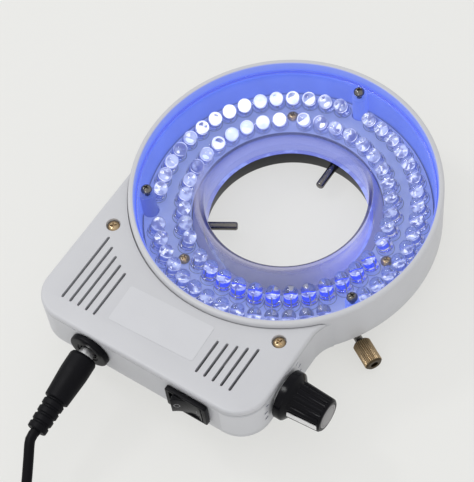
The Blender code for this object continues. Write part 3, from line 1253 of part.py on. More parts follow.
def adapter(parent, cable_end):
    """Plug-in adapter that lies on its front, blades up, with a ribbed relief at the cable."""
    relief_start = cable_end + Vector((GAP, 0, 0))
    profile = [(0, 0)] + ribbed(RELIEF_END_RADIUS, RELIEF_RADIUS, RELIEF_LENGTH, RELIEF_RIBS, RELIEF_RIB_DEPTH)
    profile.append((0, RELIEF_LENGTH))
    along = (0, math.radians(90), 0)
    place("adapter_relief", turned(profile, SMALL_SEGMENTS), parent, "black_rubber", relief_start, along)
    left = relief_start.x + RELIEF_LENGTH + GAP
    middle = (left + ADAPTER_LENGTH / 2, relief_start.y, STANDING_HEIGHT + ADAPTER_HEIGHT / 2)
    half = (ADAPTER_LENGTH / 2, ADAPTER_WIDTH / 2, ADAPTER_HEIGHT / 2)
    body = block((-half[0], -half[1], -half[2]), half)
    bmesh.ops.bevel(
        body, geom=body.edges, offset=ADAPTER_ROUND, offset_type="OFFSET", segments=3, profile=0.5, affect="EDGES"
    )
    blade_x = half[0] - ADAPTER_BLADE_INSET
    seats = []
    for side in (-1, 1):
        y = side * ADAPTER_BLADE_SPACING / 2
        seats.append(
            block(
                (blade_x - BLADE_WIDTH / 2 - GAP, y - BLADE_THICKNESS / 2 - GAP, half[2] - BLADE_SEAT_DEPTH),
                (blade_x + BLADE_WIDTH / 2 + GAP, y + BLADE_THICKNESS / 2 + GAP, half[2] + OVERRUN),
            )
        )
    place("adapter_body", cut(body, *seats), parent, "black_plastic", middle)
    outline = rounded_rectangle(BLADE_WIDTH, BLADE_THICKNESS, BLADE_THICKNESS / 3)
    for number, side in ((1, -1), (2, 1)):
        bottom = half[2] - BLADE_SEAT_DEPTH + GAP
        blade = extruded(outline, bottom, half[2] + BLADE_LENGTH)
        spot = Vector(middle) + Vector((blade_x, side * ADAPTER_BLADE_SPACING / 2, 0))
        place(f"adapter_blade_{number}", blade, parent, "bright_steel", spot)


def standing_place():
    """Where the ring's axis goes so that the object, without its cable, is centred on the origin."""
    reaches = []
    for angle, tip in zip(POST_ANGLES, CLAMP_TIP_RADII):
        end = ring_direction(angle) * (tip + CLAMP_ROD_REACH + CLAMP_HEAD_LENGTH)
        side = ring_direction(angle + 90) * CLAMP_HEAD_RADIUS
        reaches += [end + side, end - side]
    right = max(RING_RADIUS, *[point.x for point in reaches])
    left = min(-RING_RADIUS, *[point.x for point in reaches])
    back = max(RING_RADIUS, *[point.y for point in reaches])
    swing = math.radians(ROCKER_THROW / 2)
    front = ROCKER_PIVOT_Y - ROCKER_FRONT * math.cos(swing) - ROCKER_WIDTH / 2 * math.sin(swing)
    return (-(left + right) / 2, -(front + back) / 2, COLLAR_DEPTH)


def main():
    for shape in list(bpy.data.objects):
        bpy.data.objects.remove(shape)
    ring_axis = bpy.data.objects.new("ring_axis", None)
    bpy.context.scene.collection.objects.link(ring_axis)
    ring_axis.location = standing_place()
    ring_housing(ring_axis)
    box_cover(ring_axis)
    clear_window(ring_axis)
    led_board(ring_axis)
    mounting_collar(ring_axis)
    thumbscrews(ring_axis)
    rocker_switch(ring_axis)
    dimmer(ring_axis)
    inlet(ring_axis)
    driver_board(ring_axis)
    inner_wires(ring_axis)
    plug(ring_axis)
    cable_end = cable(ring_axis)
    adapter(ring_axis, cable_end)


main()
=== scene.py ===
"""Looks of a ring light for a stereo microscope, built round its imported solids.

The file is laid out as a Blender add-on and is run as a script. Lengths are in metres. Pieces are
drawn in the ring's own frame: Z runs up the ring's axis from the housing's underside, the switch
box lies toward -Y, and angles run counter-clockwise from +X.
"""
import math

import bmesh
import bpy
from bpy.props import FloatProperty, FloatVectorProperty, IntProperty, PointerProperty
from mathutils import Matrix, Vector


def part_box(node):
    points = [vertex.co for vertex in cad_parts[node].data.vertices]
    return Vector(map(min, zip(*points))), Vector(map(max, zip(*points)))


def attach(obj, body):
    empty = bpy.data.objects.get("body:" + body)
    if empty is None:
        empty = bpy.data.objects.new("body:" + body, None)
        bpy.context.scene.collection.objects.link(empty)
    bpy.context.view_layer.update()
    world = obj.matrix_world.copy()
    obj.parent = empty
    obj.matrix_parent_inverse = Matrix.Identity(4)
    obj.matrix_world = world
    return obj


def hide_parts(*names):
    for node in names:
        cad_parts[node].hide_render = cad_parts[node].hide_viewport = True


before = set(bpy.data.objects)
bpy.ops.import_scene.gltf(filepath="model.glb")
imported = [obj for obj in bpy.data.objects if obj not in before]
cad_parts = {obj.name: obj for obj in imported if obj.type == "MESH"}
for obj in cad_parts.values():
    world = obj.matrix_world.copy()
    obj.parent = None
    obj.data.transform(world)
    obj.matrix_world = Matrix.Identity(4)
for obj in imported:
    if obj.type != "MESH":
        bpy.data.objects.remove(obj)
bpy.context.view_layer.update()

bl_info = {
    "name": "Microscope Ring Light",
    "version": (1, 0, 0),
    "blender": (4, 5, 0),
    "location": "View3D > Sidebar > Ring Light",
    "description": "Dresses the solids of a microscope's ring light as moulded, lit and wired pieces",
    "category": "Object",
}

MM = 0.001

# Room between pieces, and how far a cutting shape runs past what it cuts
GAP = 0.3 * MM
OVERRUN = 3.0 * MM

# Height of the print over the LED board
PRINT_LIFT = 0.04 * MM

# The ring's axis, at the height of the housing's underside
SPIGOT_DEPTH = 2.5 * MM
WINDOW_LOW, WINDOW_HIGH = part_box("clear_window")
AXIS = (WINDOW_LOW + WINDOW_HIGH) / 2
AXIS.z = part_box("ring_housing")[0].z + SPIGOT_DEPTH

# Angles of the window's posts and thumbscrews, and of the board's screws
POST_ANGLES = (90.0, 210.0, 330.0)
BOARD_SCREW_ANGLES = (0.0, 120.0, 240.0)

# Facets of round pieces
RING_STEPS = 180
ROUND_STEPS = 64
SMALL_STEPS = 32
SLIM_STEPS = 24
CUP_STEPS = 16
CORNER_STEPS = 12
EASE_STEPS = 4

# The photograph's camera, in the ring's frame
CAMERA_AZIMUTH = 0.7184
CAMERA_ELEVATION = 1.0156
CAMERA_ROLL = -0.1549
CAMERA_PLACE = (208.414 * MM, -267.203 * MM, 534.901 * MM)
CAMERA_FOCAL_PIXELS = 1813.2
PICTURE_HEIGHT_PIXELS = 482
SENSOR_SIZE = 36.0


def length(name, description, millimetres):
    """Length that a user may change, its default given in millimetres."""
    default = millimetres * MM
    return FloatProperty(name=name, description=description, default=default, unit="LENGTH", precision=5)


def colour(name, description, red, green, blue):
    """Colour that a user may change."""
    return FloatVectorProperty(
        name=name, description=description, default=(red, green, blue), subtype="COLOR", min=0.0, max=1.0
    )


def count(name, description, number):
    """Whole number that a user may change."""
    return IntProperty(name=name, description=description, default=number, min=1)


class RingSizes(bpy.types.PropertyGroup):
    """Sizes of the round trough, its window and its board."""

    radius: length("Ring radius", "Outer radius of the rim", 54.0)
    height: length("Ring height", "Height of the rim over the underside", 19.8)
    draft: length("Draft", "How much smaller the ring's foot is than its rim", 0.3)
    rim_width: length("Rim width", "Width of the rim's flat top", 2.1)
    rim_round: length("Rim rounding", "Radius of the rim's outer edge", 1.0)
    foot_round: length("Foot rounding", "Radius of the ring's lower edge", 0.8)
    ledge_width: length("Ledge width", "Width of the ledge under the window", 1.0)
    ledge_height: length("Ledge height", "Height of the ledge under the window", 14.5)
    floor: length("Floor", "Thickness of the housing's floor", 1.2)
    bore: length("Bore radius", "Radius of the opening for the objective", 30.0)
    spigot_wall: length("Spigot wall", "Wall of the spigot under the floor", 2.5)
    post_radius: length("Post radius", "Radius of the window's posts", 2.5)
    post_inset: length("Post inset", "From the trough's wall to a post's axis", 3.0)
    web_width: length("Web width", "Width of the web behind a post", 3.0)
    seat_radius: length("Seat radius", "Radius of the board's seats", 3.2)
    seat_rise: length("Seat rise", "Height of the board's seats over the floor", 0.4)
    window: length("Window thickness", "Thickness of the clear window", 1.4)
    window_bend: length("Window bend", "Outer radius of the bend into the tube", 3.0)
    board: length("Board thickness", "Thickness of the LED board", 1.6)
    board_inner: length("Board inner radius", "Inner radius of the LED board", 33.3)
    board_screw: length("Board screw radius", "From the axis to the board's screws", 40.0)


class BoxSizes(bpy.types.PropertyGroup):
    """Sizes of the switch box and its cover."""

    left: length("Left wall", "From the ring's axis to the left wall", 50.1)
    right: length("Right wall", "From the ring's axis to the right wall", 38.0)
    front: length("Front wall", "From the ring's axis to the front wall", 80.8)
    corner: length("Corner radius", "Radius of the two front corners", 11.0)
    fillet: length("Fillet radius", "Radius between the right wall and the ring", 12.0)
    wall: length("Wall", "Thickness of the box's walls", 2.0)
    cover_top: length("Cover height", "Height of the cover's top over the underside", 17.8)
    cover_edge: length("Cover edge", "Thickness of the cover at its edge", 2.0)
    cover_round: length("Cover rounding", "Radius of the cover's upper edge", 1.0)
    vent_width: length("Vent width", "Width of a vent slot", 1.0)
    vent_pitch: length("Vent pitch", "From one vent slot to the next", 3.25)
    vent_count: count("Vents", "Vent slots in each group", 5)
    label_width: length("Label width", "Width of the bare label", 32.8)
    label_depth: length("Label depth", "Depth of the bare label", 14.2)


class LampSizes(bpy.types.PropertyGroup):
    """Sizes of one LED, and of the two rows."""

    radius: length("Lens radius", "Radius of a lens", 2.5)
    height: length("Lens height", "From a lens's flange to its nose", 7.1)
    flange: length("Flange radius", "Radius of a lens's flange", 2.85)
    flange_height: length("Flange height", "Thickness of a lens's flange", 0.9)
    inner_row: length("Inner row radius", "From the axis to the inner row", 37.2)
    inner_spacing: length("Inner row spacing", "From one inner LED to the next", 6.265)
    inner_count: count("Inner run", "LEDs in each of the inner row's runs", 12)
    outer_row: length("Outer row radius", "From the axis to the outer row", 46.4)
    outer_spacing: length("Outer row spacing", "From one outer LED to the next", 6.07)
    outer_count: count("Outer run", "LEDs in a full run of the outer row", 15)
    light: length("Light radius", "Radius of the light low in a lens", 1.1)
    light_shift: length("Light shift", "How far the light stands off the lens's axis, along its row", 0.25)
    cup: length("Cup radius", "Inner radius of the cup at the light", 1.4)
    cup_depth: length("Cup depth", "Height of the light over the lens's base", 1.35)
    cup_height: length("Cup height", "Height of the cup's mouth in a lens", 3.1)
    lead: length("Lead width", "Width of a lead", 0.4)
    lean: FloatProperty(
        name="Lean",
        description="How far the LEDs lean to the axis",
        subtype="ANGLE",
        default=math.radians(21),
    )


class FittingSizes(bpy.types.PropertyGroup):
    """Sizes of the collar, its thumbscrews and the small screws."""

    collar_rim: length("Collar rim", "Wall of the collar outside the spigot", 1.7)
    collar_depth: length("Collar depth", "From the housing's underside to the collar's foot", 11.0)
    ear_radius: length("Ear radius", "Radius of the collar's ears", 5.0)
    ear_thickness: length("Ear thickness", "Thickness of the collar's ears", 5.0)
    rod: length("Rod radius", "Radius of a thumbscrew's rod", 1.5)
    rod_reach: length("Rod reach", "Rod's length up to the head", 25.2)
    rod_plain: length("Plain tip", "Length of the rod that has no thread", 12.5)
    thread_pitch: length("Thread pitch", "Pitch of the thumbscrews' thread", 0.5)
    head: length("Head radius", "Radius of a thumbscrew's head", 3.2)
    head_length: length("Head length", "Length of a thumbscrew's head", 9.7)
    clamp_drop: length("Thumbscrew drop", "From the underside down to the thumbscrews", 6.5)


class ControlSizes(bpy.types.PropertyGroup):
    """Sizes of the rocker switch, the dimmer and the inlet."""

    switch_x: length("Switch place", "From the ring's axis to the switch", 14.5)
    switch_z: length("Switch height", "Height of the switch's middle", 9.5)
    bezel_width: length("Bezel width", "Width of the switch's bezel", 15.8)
    bezel_height: length("Bezel height", "Height of the switch's bezel", 11.0)
    bezel: length("Bezel thickness", "Thickness of the switch's bezel", 1.8)
    rocker_width: length("Rocker width", "Width of the rocker", 10.8)
    rocker_height: length("Rocker height", "Height of the rocker", 8.4)
    rocker_front: length("Rocker front", "From the pivot to the rocker's raised ends", 4.4)
    rocker_dish: length("Rocker dish", "Depth of the rocker's hollow", 1.4)
    dimmer_z: length("Dimmer height", "Height of the dimmer's axis", 8.2)
    knob_skirt: length("Knob skirt radius", "Radius of the knob's skirt", 8.6)
    knob_body: length("Knob radius", "Radius of the knob over its skirt", 6.6)
    knob_top: length("Knob top radius", "Radius of the knob at its end", 5.9)
    knob_length: length("Knob length", "Length of the knob", 16.0)
    knob_cap: length("Knob cap radius", "Radius of the knob's grey insert", 4.4)
    knob_flutes: count("Knob flutes", "Flutes round the knob", 16)
    flange: length("Inlet flange radius", "Radius of the inlet's flange", 7.3)
    flange_thickness: length("Inlet flange thickness", "Thickness of the inlet's flange", 2.0)
    inlet_x: length("Inlet place", "From the ring's axis to the inlet, to the left", 25.0)
    inlet_z: length("Inlet height", "Height of the inlet's middle", 8.9)


class CableSizes(bpy.types.PropertyGroup):
    """Sizes of the plug, the cable and the adapter."""

    cable: length("Cable radius", "Radius of the cable", 1.75)
    plug_face: length("Plug face radius", "Radius of the plug at its face", 4.9)
    plug_waist: length("Plug waist radius", "Radius of the plug where its ribs start", 3.8)
    plug_end: length("Plug end radius", "Radius of the plug where the cable leaves", 3.4)
    plug_grip: length("Plug grip length", "Length of the plug's smooth grip", 17.5)
    plug_length: length("Plug length", "Whole length of the plug", 29.2)
    barrel: length("Barrel radius", "Radius of the plug's metal barrel", 2.75)
    coil_radius: length("Coil inner radius", "Radius of the coil's innermost loop", 12.4)
    coil_pitch: length("Coil pitch", "From one loop to the next", 4.02)
    coil_layer: length("Coil layer", "From the lower layer to the upper one", 4.0)
    adapter_length: length("Adapter length", "Length of the adapter", 56.0)
    adapter_width: length("Adapter width", "Width of the adapter", 38.0)
    adapter_height: length("Adapter height", "Height of the adapter as it lies", 26.0)
    adapter_round: length("Adapter rounding", "Radius of the adapter's edges", 3.5)


class Colours(bpy.types.PropertyGroup):
    """Colours of the finishes."""

    white: colour("Moulding", "The housing's cool white", 0.535, 0.54, 0.565)
    black: colour("Black plastic", "Knob, rocker, flange and collar", 0.003, 0.003, 0.0045)
    rubber: colour("Black rubber", "Plug and cable", 0.004, 0.004, 0.0055)
    brass: colour("Brass", "Thumbscrew heads and cover screws", 0.47, 0.35, 0.21)
    steel: colour("Steel", "Bright metal", 0.62, 0.62, 0.63)
    dark_steel: colour("Dark steel", "Rods and window screws", 0.2, 0.19, 0.18)
    # The blue glow and the lit board are painted light, given off by the housing and the board, which are no
    # lamps
    glow: colour("Blue glow", "Light on the trough's walls", 0.085, 0.15, 0.6)
    lit: colour("Lit board", "Light on the board between the LEDs", 0.085, 0.12, 0.31)
    lamp: colour("Lamp", "Light of an LED's cup", 0.5, 0.58, 0.95)
    backdrop: colour("Backdrop", "Floor and background", 0.81, 0.81, 0.79)


class RingLight(bpy.types.PropertyGroup):
    """All the values of the ring light."""

    ring: PointerProperty(type=RingSizes)
    box: PointerProperty(type=BoxSizes)
    lamps: PointerProperty(type=LampSizes)
    fittings: PointerProperty(type=FittingSizes)
    controls: PointerProperty(type=ControlSizes)
    cable: PointerProperty(type=CableSizes)
    colours: PointerProperty(type=Colours)


def sizes():
    """The ring light's values, which the scene keeps."""
    return bpy.context.scene.ring_light


# Shaders

class Value:
    """A shader socket that adds the Math nodes of the expression it stands in."""

    def __init__(self, tree, socket):
        self.tree = tree
        self.socket = socket

    def maths(self, operation, *values):
        """Result of a Math node on values, each a Value or a number."""
        node = self.tree.nodes.new("ShaderNodeMath")
        node.operation = operation
        for slot, value in zip(node.inputs, values):
            if isinstance(value, Value):
                self.tree.links.new(value.socket, slot)
            else:
                slot.default_value = value
        return Value(self.tree, node.outputs[0])

    def __add__(self, other):
        return self.maths("ADD", self, other)

    def __sub__(self, other):
        return self.maths("SUBTRACT", self, other)

    def __rsub__(self, other):
        return self.maths("SUBTRACT", other, self)

    def __mul__(self, other):
        return self.maths("MULTIPLY", self, other)

    def __truediv__(self, other):
        return self.maths("DIVIDE", self, other)

    def __pow__(self, other):
        return self.maths("POWER", self, other)

    __radd__ = __add__
    __rmul__ = __mul__

    def least(self, other):
        """The smaller of this value and another."""
        return self.maths("MINIMUM", self, other)

    def most(self, other):
        """The larger of this value and another."""
        return self.maths("MAXIMUM", self, other)


class Nodes:
    """Nodes of a material or of the world, which one method adds."""

    def __init__(self, tree):
        self.tree = tree

    def node(self, kind, settings=None, sockets=None, output=0):
        """A node of any kind: its settings first, then its sockets' values or links."""
        node = self.tree.nodes.new(kind)
        for setting, value in (settings or {}).items():
            setattr(node, setting, value)
        for socket, value in (sockets or {}).items():
            if isinstance(value, Value):
                self.tree.links.new(value.socket, node.inputs[socket])
            else:
                node.inputs[socket].default_value = value
        return Value(self.tree, node.outputs[output])

    def backdrop_rays(self):
        """How many of the kinds that see the backdrop this ray is of."""
        kinds = ("Is Camera Ray", "Is Glossy Ray", "Is Transmission Ray")
        camera, glossy, through = (self.node("ShaderNodeLightPath", output=kind) for kind in kinds)
        return camera + glossy + through


class Finish(Nodes):
    """A material and the nodes that paint it."""

    def __init__(self, name, colour, roughness, metallic=0.0, **constants):
        self.material = bpy.data.materials.new(name)
        self.material.use_nodes = True
        super().__init__(self.material.node_tree)
        self.shader = self.tree.nodes["Principled BSDF"]
        constants.update(base_color=(*colour, 1.0), roughness=roughness, metallic=metallic)
        for socket, value in constants.items():
            self.shader.inputs[socket.replace("_", " ").title().replace("Ior", "IOR")].default_value = value

    def feed(self, socket, value):
        """Link a value to one of the shader's sockets."""
        self.tree.links.new(value.socket, self.shader.inputs[socket])

    def glow(self, light, strength=1.0):
        """Give off light of a colour, at one strength all over."""
        self.feed("Emission Color", light)
        self.shader.inputs["Emission Strength"].default_value = strength

    def place(self):
        """The point being shaded, in the piece's own frame."""
        return self.node("ShaderNodeTexCoord", output="Object")

    def along(self, axis):
        """One coordinate of the point being shaded."""
        return self.node("ShaderNodeSeparateXYZ", sockets={"Vector": self.place()}, output=axis)

    def toward_front(self):
        """Distance from the axis toward the front right, where the nearest LEDs stand."""
        return self.along("X") * 0.66 - self.along("Y") * 0.75

    def from_axis(self):
        """Distance of the point being shaded from the piece's Z axis."""
        return (self.along("X") ** 2 + self.along("Y") ** 2) ** 0.5

    def ramp(self, value, low, high):
        """From 0 at low to 1 at high, with smooth ends."""
        settings = {"interpolation_type": "SMOOTHSTEP"}
        return self.node("ShaderNodeMapRange", settings, {"Value": value, "From Min": low, "From Max": high})

    def noise(self, size, detail=2.0, stretch=(1, 1, 1)):
        """Even noise from 0 to 1, whose grains have about the given size."""
        scale = [1 / (size * share) for share in stretch]
        grains = self.node("ShaderNodeVectorMath", {"operation": "MULTIPLY"}, {0: self.place(), 1: scale})
        return self.node("ShaderNodeTexNoise", sockets={"Vector": grains, "Scale": 1.0, "Detail": detail})

    def blend(self, factor, first, second):
        """A colour between two, each a Value or three numbers."""
        pair = [value if isinstance(value, Value) else (*value, 1.0) for value in (first, second)]
        settings = {"data_type": "RGBA"}
        return self.node("ShaderNodeMix", settings, {0: factor, 6: pair[0], 7: pair[1]}, output=2)

    def bump(self, height, depth):
        """Raise the surface by height, a Value from 0 to 1, times depth."""
        self.feed("Normal", self.node("ShaderNodeBump", sockets={"Height": height, "Distance": depth}))


def scaled(tone, factor):
    """A colour made darker or paler."""
    return [min(1.0, part * factor) for part in tone]


FINISHES = {}


def finish(maker):
    """Make each finish once, the first time that it is asked for."""

    def made():
        """The finish's material."""
        if maker.__name__ not in FINISHES:
            FINISHES[maker.__name__] = maker(sizes().colours).material
        return FINISHES[maker.__name__]

    return made


@finish
def moulded_white(colours):
    """Satin white moulding, with painted blue light and painted shade inside the trough."""
    look = Finish("moulded_white", colours.white, 0.42, specular_ior_level=0.45)
    ring = sizes().ring
    wall = ring.radius - ring.rim_width
    radius = look.from_axis()
    height = look.along("Z")
    inside = (1 - look.ramp(radius, wall - 0.1 * MM, wall + 0.5 * MM)) * look.ramp(height, 0.4 * MM, 1.3 * MM)
    shade = look.blend(look.noise(14 * MM, 3.0), scaled(colours.white, 0.965), scaled(colours.white, 1.035))
    # Painted blue light in the base colour inside the trough, paler towards the bore
    bore_side = 1 - look.ramp(radius, ring.board_inner - 1 * MM, ring.board_inner + 1 * MM)
    painted_blue_wash = look.blend(bore_side, (0.05, 0.08, 0.4), (0.24, 0.26, 0.42))
    look.feed("Base Color", look.blend(inside, shade, painted_blue_wash))
    # Painted blue glow on the walls, changing at random; the upper wall near the ledge gets its own tone
    upper = look.ramp(height, ring.ledge_height - 2 * MM, ring.height)
    patchy = look.blend(look.noise(9 * MM, 2.0), scaled(colours.glow, 0.8), scaled(colours.glow, 1.15))
    # Painted shade: the glow is darker on the left post and low down by the floor
    post = 1 - look.ramp(radius, trough_wall() - 0.7 * MM, trough_wall() - 0.2 * MM)
    left_post = post * (1 - look.ramp(look.along("X"), -30 * MM, -20 * MM))
    painted_glow_with_shade = look.blend(left_post, patchy, scaled(colours.glow, 0.4))
    painted_glow_with_shade = look.blend(look.ramp(height, ring.floor, board_top() + 1 * MM), scaled(colours.glow, 0.3), painted_glow_with_shade)
    # Painted light given off inside the trough, fainter by the bore
    light = look.blend(bore_side, look.blend(upper, painted_glow_with_shade, (0.16, 0.22, 0.56)), (0.05, 0.06, 0.2))
    look.glow(look.blend(inside, (0, 0, 0), light))
    look.feed("Roughness", 0.36 + look.noise(5 * MM) * 0.14)
    look.bump(look.noise(0.35 * MM, 1.0), 0.02 * MM)
    return look


@finish
def clear_acrylic(colours):
    """Clear window, seen by its reflections: its tube has a slight frost, painted haze and painted blue
    light, its edges have painted glow and glints, and its near bend has painted shade.
    """
    ring = sizes().ring
    look = Finish("clear_acrylic", (0.8, 0.82, 0.95), 0.05)
    slope = look.node("ShaderNodeLayerWeight", sockets={"Blend": 0.5}, output="Facing")
    mirror = 0.035 + slope**5 * 0.9
    radius = look.from_axis()
    height = look.along("Z")
    trough_rim = ring.radius - ring.rim_width
    rim = look.ramp(radius, trough_rim - 0.75 * MM, trough_rim - 0.45 * MM)
    foot = 1 - look.ramp(height, -SPIGOT_DEPTH + 0.15 * MM, -SPIGOT_DEPTH + 0.5 * MM)
    edge = rim + foot - rim * foot
    near_half = look.ramp(look.toward_front(), -8 * MM, 6 * MM)
    bend_foot = window_top() - ring.window_bend
    bend = look.ramp(height, bend_foot + 0.2 * MM, bend_foot + 0.7 * MM)
    # Painted shade: a dark line along the near side of the bend into the tube
    painted_dark_bend = bend * near_half * (1 - look.ramp(radius, ring.bore - 0.4 * MM, ring.bore + 0.1 * MM))
    # Slight even frost, and painted haze that clouds the tube more toward the box and low down
    low_down = 1 - look.ramp(height, 5 * MM, 9 * MM)
    toward_box = 1 - look.ramp(look.along("Y"), -24 * MM, 4 * MM)
    frost_and_painted_haze = 0.12 + toward_box * 0.55 + low_down * 0.38 * (1 - toward_box)
    tube = (1 - look.ramp(radius, ring.bore + 0.2 * MM, ring.bore + 2.5 * MM)) * frost_and_painted_haze
    cover = tube.most(edge * 0.8).most(painted_dark_bend * 0.8)
    alpha = mirror.most(cover)
    look.feed("Alpha", alpha)
    # Painted light and shade in the haze's colour: purple grey, vivid blue on the tube's right
    rightward = look.ramp(look.along("X"), 12 * MM, 27 * MM) * (1 - toward_box * 0.85)
    haze_and_painted_light = look.blend(toward_box, (0.28, 0.28, 0.46), (0.36, 0.34, 0.42))
    haze_and_painted_light = look.blend(rightward, haze_and_painted_light, (0.06, 0.08, 0.4))
    haze_and_painted_light = look.blend(tube / alpha, (0.93, 0.94, 1.0), haze_and_painted_light)
    haze_and_painted_light = look.blend(painted_dark_bend, haze_and_painted_light, (0.03, 0.025, 0.09))
    look.feed("Base Color", look.blend(edge, haze_and_painted_light, (0.08, 0.1, 0.4)))
    look.feed("Metallic", 1 - cover / alpha)
    # Painted blue light given off by the tube, strongest toward the box and on its right
    painted_blue_light = look.blend(toward_box, (0.15, 0.19, 0.48), (0.03, 0.04, 0.11))
    painted_blue_light = look.blend(rightward, painted_blue_light, (0.03, 0.06, 0.62))
    painted_blue_light = look.blend(painted_dark_bend, look.blend(tube / alpha, (0, 0, 0), painted_blue_light), (0, 0, 0))
    # Painted glints and blue glow along the window's outer edge and the tube's foot
    painted_edge_glints = look.blend(look.ramp(look.noise(5 * MM), 0.5, 0.62) * foot, (0.05, 0.08, 0.5), (0.3, 0.42, 1.0))
    look.glow(look.blend(edge, painted_blue_light, painted_edge_glints))
    look.feed("Roughness", 0.03 + look.noise(11 * MM) * 0.05)
    look.bump(look.noise(16 * MM, 1.0), 0.05 * MM)
    return look


@finish
def clear_epoxy(colours):
    """Water-clear epoxy of the LEDs, with painted dark blue shade where a lens is seen edge on."""
    look = Finish("clear_epoxy", (0.96, 0.97, 1.0), 0.02, ior=1.52, transmission_weight=1.0)
    slope = look.node("ShaderNodeLayerWeight", sockets={"Blend": 0.5}, output="Facing")
    look.feed("Base Color", look.blend(slope**2.5, (0.97, 0.98, 1.0), (0.04, 0.06, 0.28)))
    look.feed("Roughness", 0.01 + look.noise(1.5 * MM) * 0.03)
    return look


@finish
def lamp_glow(colours):
    """Lit cup of an LED, whose light on the board is painted there instead."""
    look = Finish("lamp_glow", (0.9, 0.9, 0.9), 0.5)
    light = look.blend(look.ramp(look.noise(0.7 * MM, 1.0), 0.35, 0.6), colours.lamp, (1.0, 1.0, 1.0))
    after_board = look.node("ShaderNodeLightPath", output="Diffuse Depth")
    look.glow(look.blend(after_board, light, (0.0, 0.0, 0.0)), 1.3)
    return look


@finish
def lit_lining(colours):
    """Inner face of an LED's cup, with painted pale blue light from its chip and painted white glints."""
    look = Finish("lit_lining", (0.3, 0.34, 0.52), 0.4)
    # Painted pale blue light from the chip, in patches, with painted white glints
    patches = look.ramp(look.noise(0.6 * MM, 2.0), 0.36, 0.64)
    shade = look.blend(patches, (0.02, 0.03, 0.15), (0.42, 0.48, 0.66))
    painted_glints = look.ramp(look.noise(0.35 * MM, 1.0), 0.57, 0.65)
    look.glow(look.blend(painted_glints, shade, (0.9, 0.93, 1.0)))
    return look


@finish
def cup_in_painted_blue_light(colours):
    """Outer face of an LED's cup, with a faint painted blue glow, and painted deep blue light in the inner
    row's nearest run.
    """
    look = Finish("cup_in_painted_blue_light", (0.2, 0.28, 0.8), 0.3, 0.5)
    patchy = look.noise(0.9 * MM, 2.0)
    # Painted light: the inner row's nearest run gets a deep blue colour and a strong blue glow
    near_row = look.ramp(look.toward_front(), 17 * MM, 25 * MM)
    near_row = near_row * (1 - look.ramp(look.from_axis(), 40 * MM, 42 * MM))
    pale = look.blend(patchy, (0.16, 0.2, 0.5), (0.7, 0.74, 0.92))
    look.feed("Base Color", look.blend(near_row, pale, (0.02, 0.04, 0.4)))
    # Faint painted blue glow on every other cup
    faint_painted_glow = look.blend(patchy, (0.01, 0.02, 0.2), (0.05, 0.08, 0.3))
    look.glow(look.blend(near_row, faint_painted_glow, (0.01, 0.05, 0.85)))
    return look


@finish
def lit_board(colours):
    """White circuit board, with painted blue light in its colour and glow, and painted shade at its edges."""
    look = Finish("lit_board", (0.22, 0.26, 0.45), 0.38, coat_weight=0.4)
    ring = sizes().ring
    outer = trough_wall() - 0.4 * MM
    radius = look.from_axis()
    # Painted shade: the board's inner and outer edges are dark and give off no light
    face = look.ramp(radius, ring.board_inner + 0.1 * MM, ring.board_inner + 0.3 * MM)
    face = face * (1 - look.ramp(radius, outer - 0.3 * MM, outer - 0.1 * MM))
    # Painted blue light in the board's colour, which changes at random
    shade = look.blend(look.noise(6 * MM, 3.0), (0.17, 0.2, 0.38), (0.29, 0.33, 0.52))
    look.feed("Base Color", look.blend(face, (0.03, 0.04, 0.12), shade))
    # Painted blue light given off by the board's face
    light = look.blend(look.noise(4 * MM), colours.lit, scaled(colours.lit, 1.5))
    look.glow(look.blend(face, (0, 0, 0), light))
    look.bump(look.noise(0.6 * MM, 1.0), 0.015 * MM)
    return look


def plain_plastic(name, tone, roughness, grain, depth, **constants):
    """Plastic, rubber or anodised metal with a fine grain and slight wear."""
    look = Finish(name, tone, roughness, **constants)
    look.feed("Base Color", look.blend(look.noise(7 * MM, 3.0), scaled(tone, 0.8), scaled(tone, 1.3)))
    look.feed("Roughness", roughness - 0.06 + look.noise(3 * MM) * 0.12)
    look.bump(look.noise(grain, 1.0), depth)
    return look


@finish
def black_gloss(colours):
    """Glossy black of the knob and the rocker."""
    return plain_plastic("black_gloss", colours.black, 0.2, 0.9 * MM, 0.008 * MM, specular_ior_level=0.1)


@finish
def black_satin(colours):
    """Satin black of the inlet's flange, the switch's bezel and the adapter."""
    return plain_plastic("black_satin", colours.black, 0.38, 0.4 * MM, 0.02 * MM, specular_ior_level=0.09)


@finish
def black_anodised(colours):
    """Black anodised metal of the collar."""
    return plain_plastic("black_anodised", colours.black, 0.34, 0.25 * MM, 0.01 * MM, metallic=0.3)


@finish
def black_rubber(colours):
    """Matte black of the plug and the cable."""
    return plain_plastic("black_rubber", colours.rubber, 0.5, 0.3 * MM, 0.03 * MM, specular_ior_level=0.08)


def turned_metal(name, tone, roughness, groove=None, depth=0.006 * MM, dull=0.72):
    """Metal turned about the piece's Z axis, stained; groove holds the floor and edge radii of a groove that
    gets painted shade.
    """
    look = Finish(name, tone, roughness, 1.0)
    shade = look.blend(look.noise(2.5 * MM, 3.0), scaled(tone, dull), scaled(tone, 1.15))
    # Painted shade in the groove
    if groove:
        shade = look.blend(look.ramp(look.from_axis(), *groove), scaled(tone, 0.16), shade)
    look.feed("Base Color", shade)
    look.feed("Roughness", roughness - 0.05 + look.noise(1.2 * MM) * 0.14)
    look.bump(look.noise(0.12 * MM, 1.0, (40, 40, 1)), depth)
    return look


@finish
def knurled_brass(colours):
    """Brass of the thumbscrews' heads, with painted shade between the knurls."""
    head = sizes().fittings.head
    return turned_metal("knurled_brass", colours.brass, 0.34, (head - KNURL_DEPTH, head - 0.08 * MM))


@finish
def screw_brass(colours):
    """Brass of the cover's and the board's screws."""
    return turned_metal("screw_brass", colours.brass, 0.3)


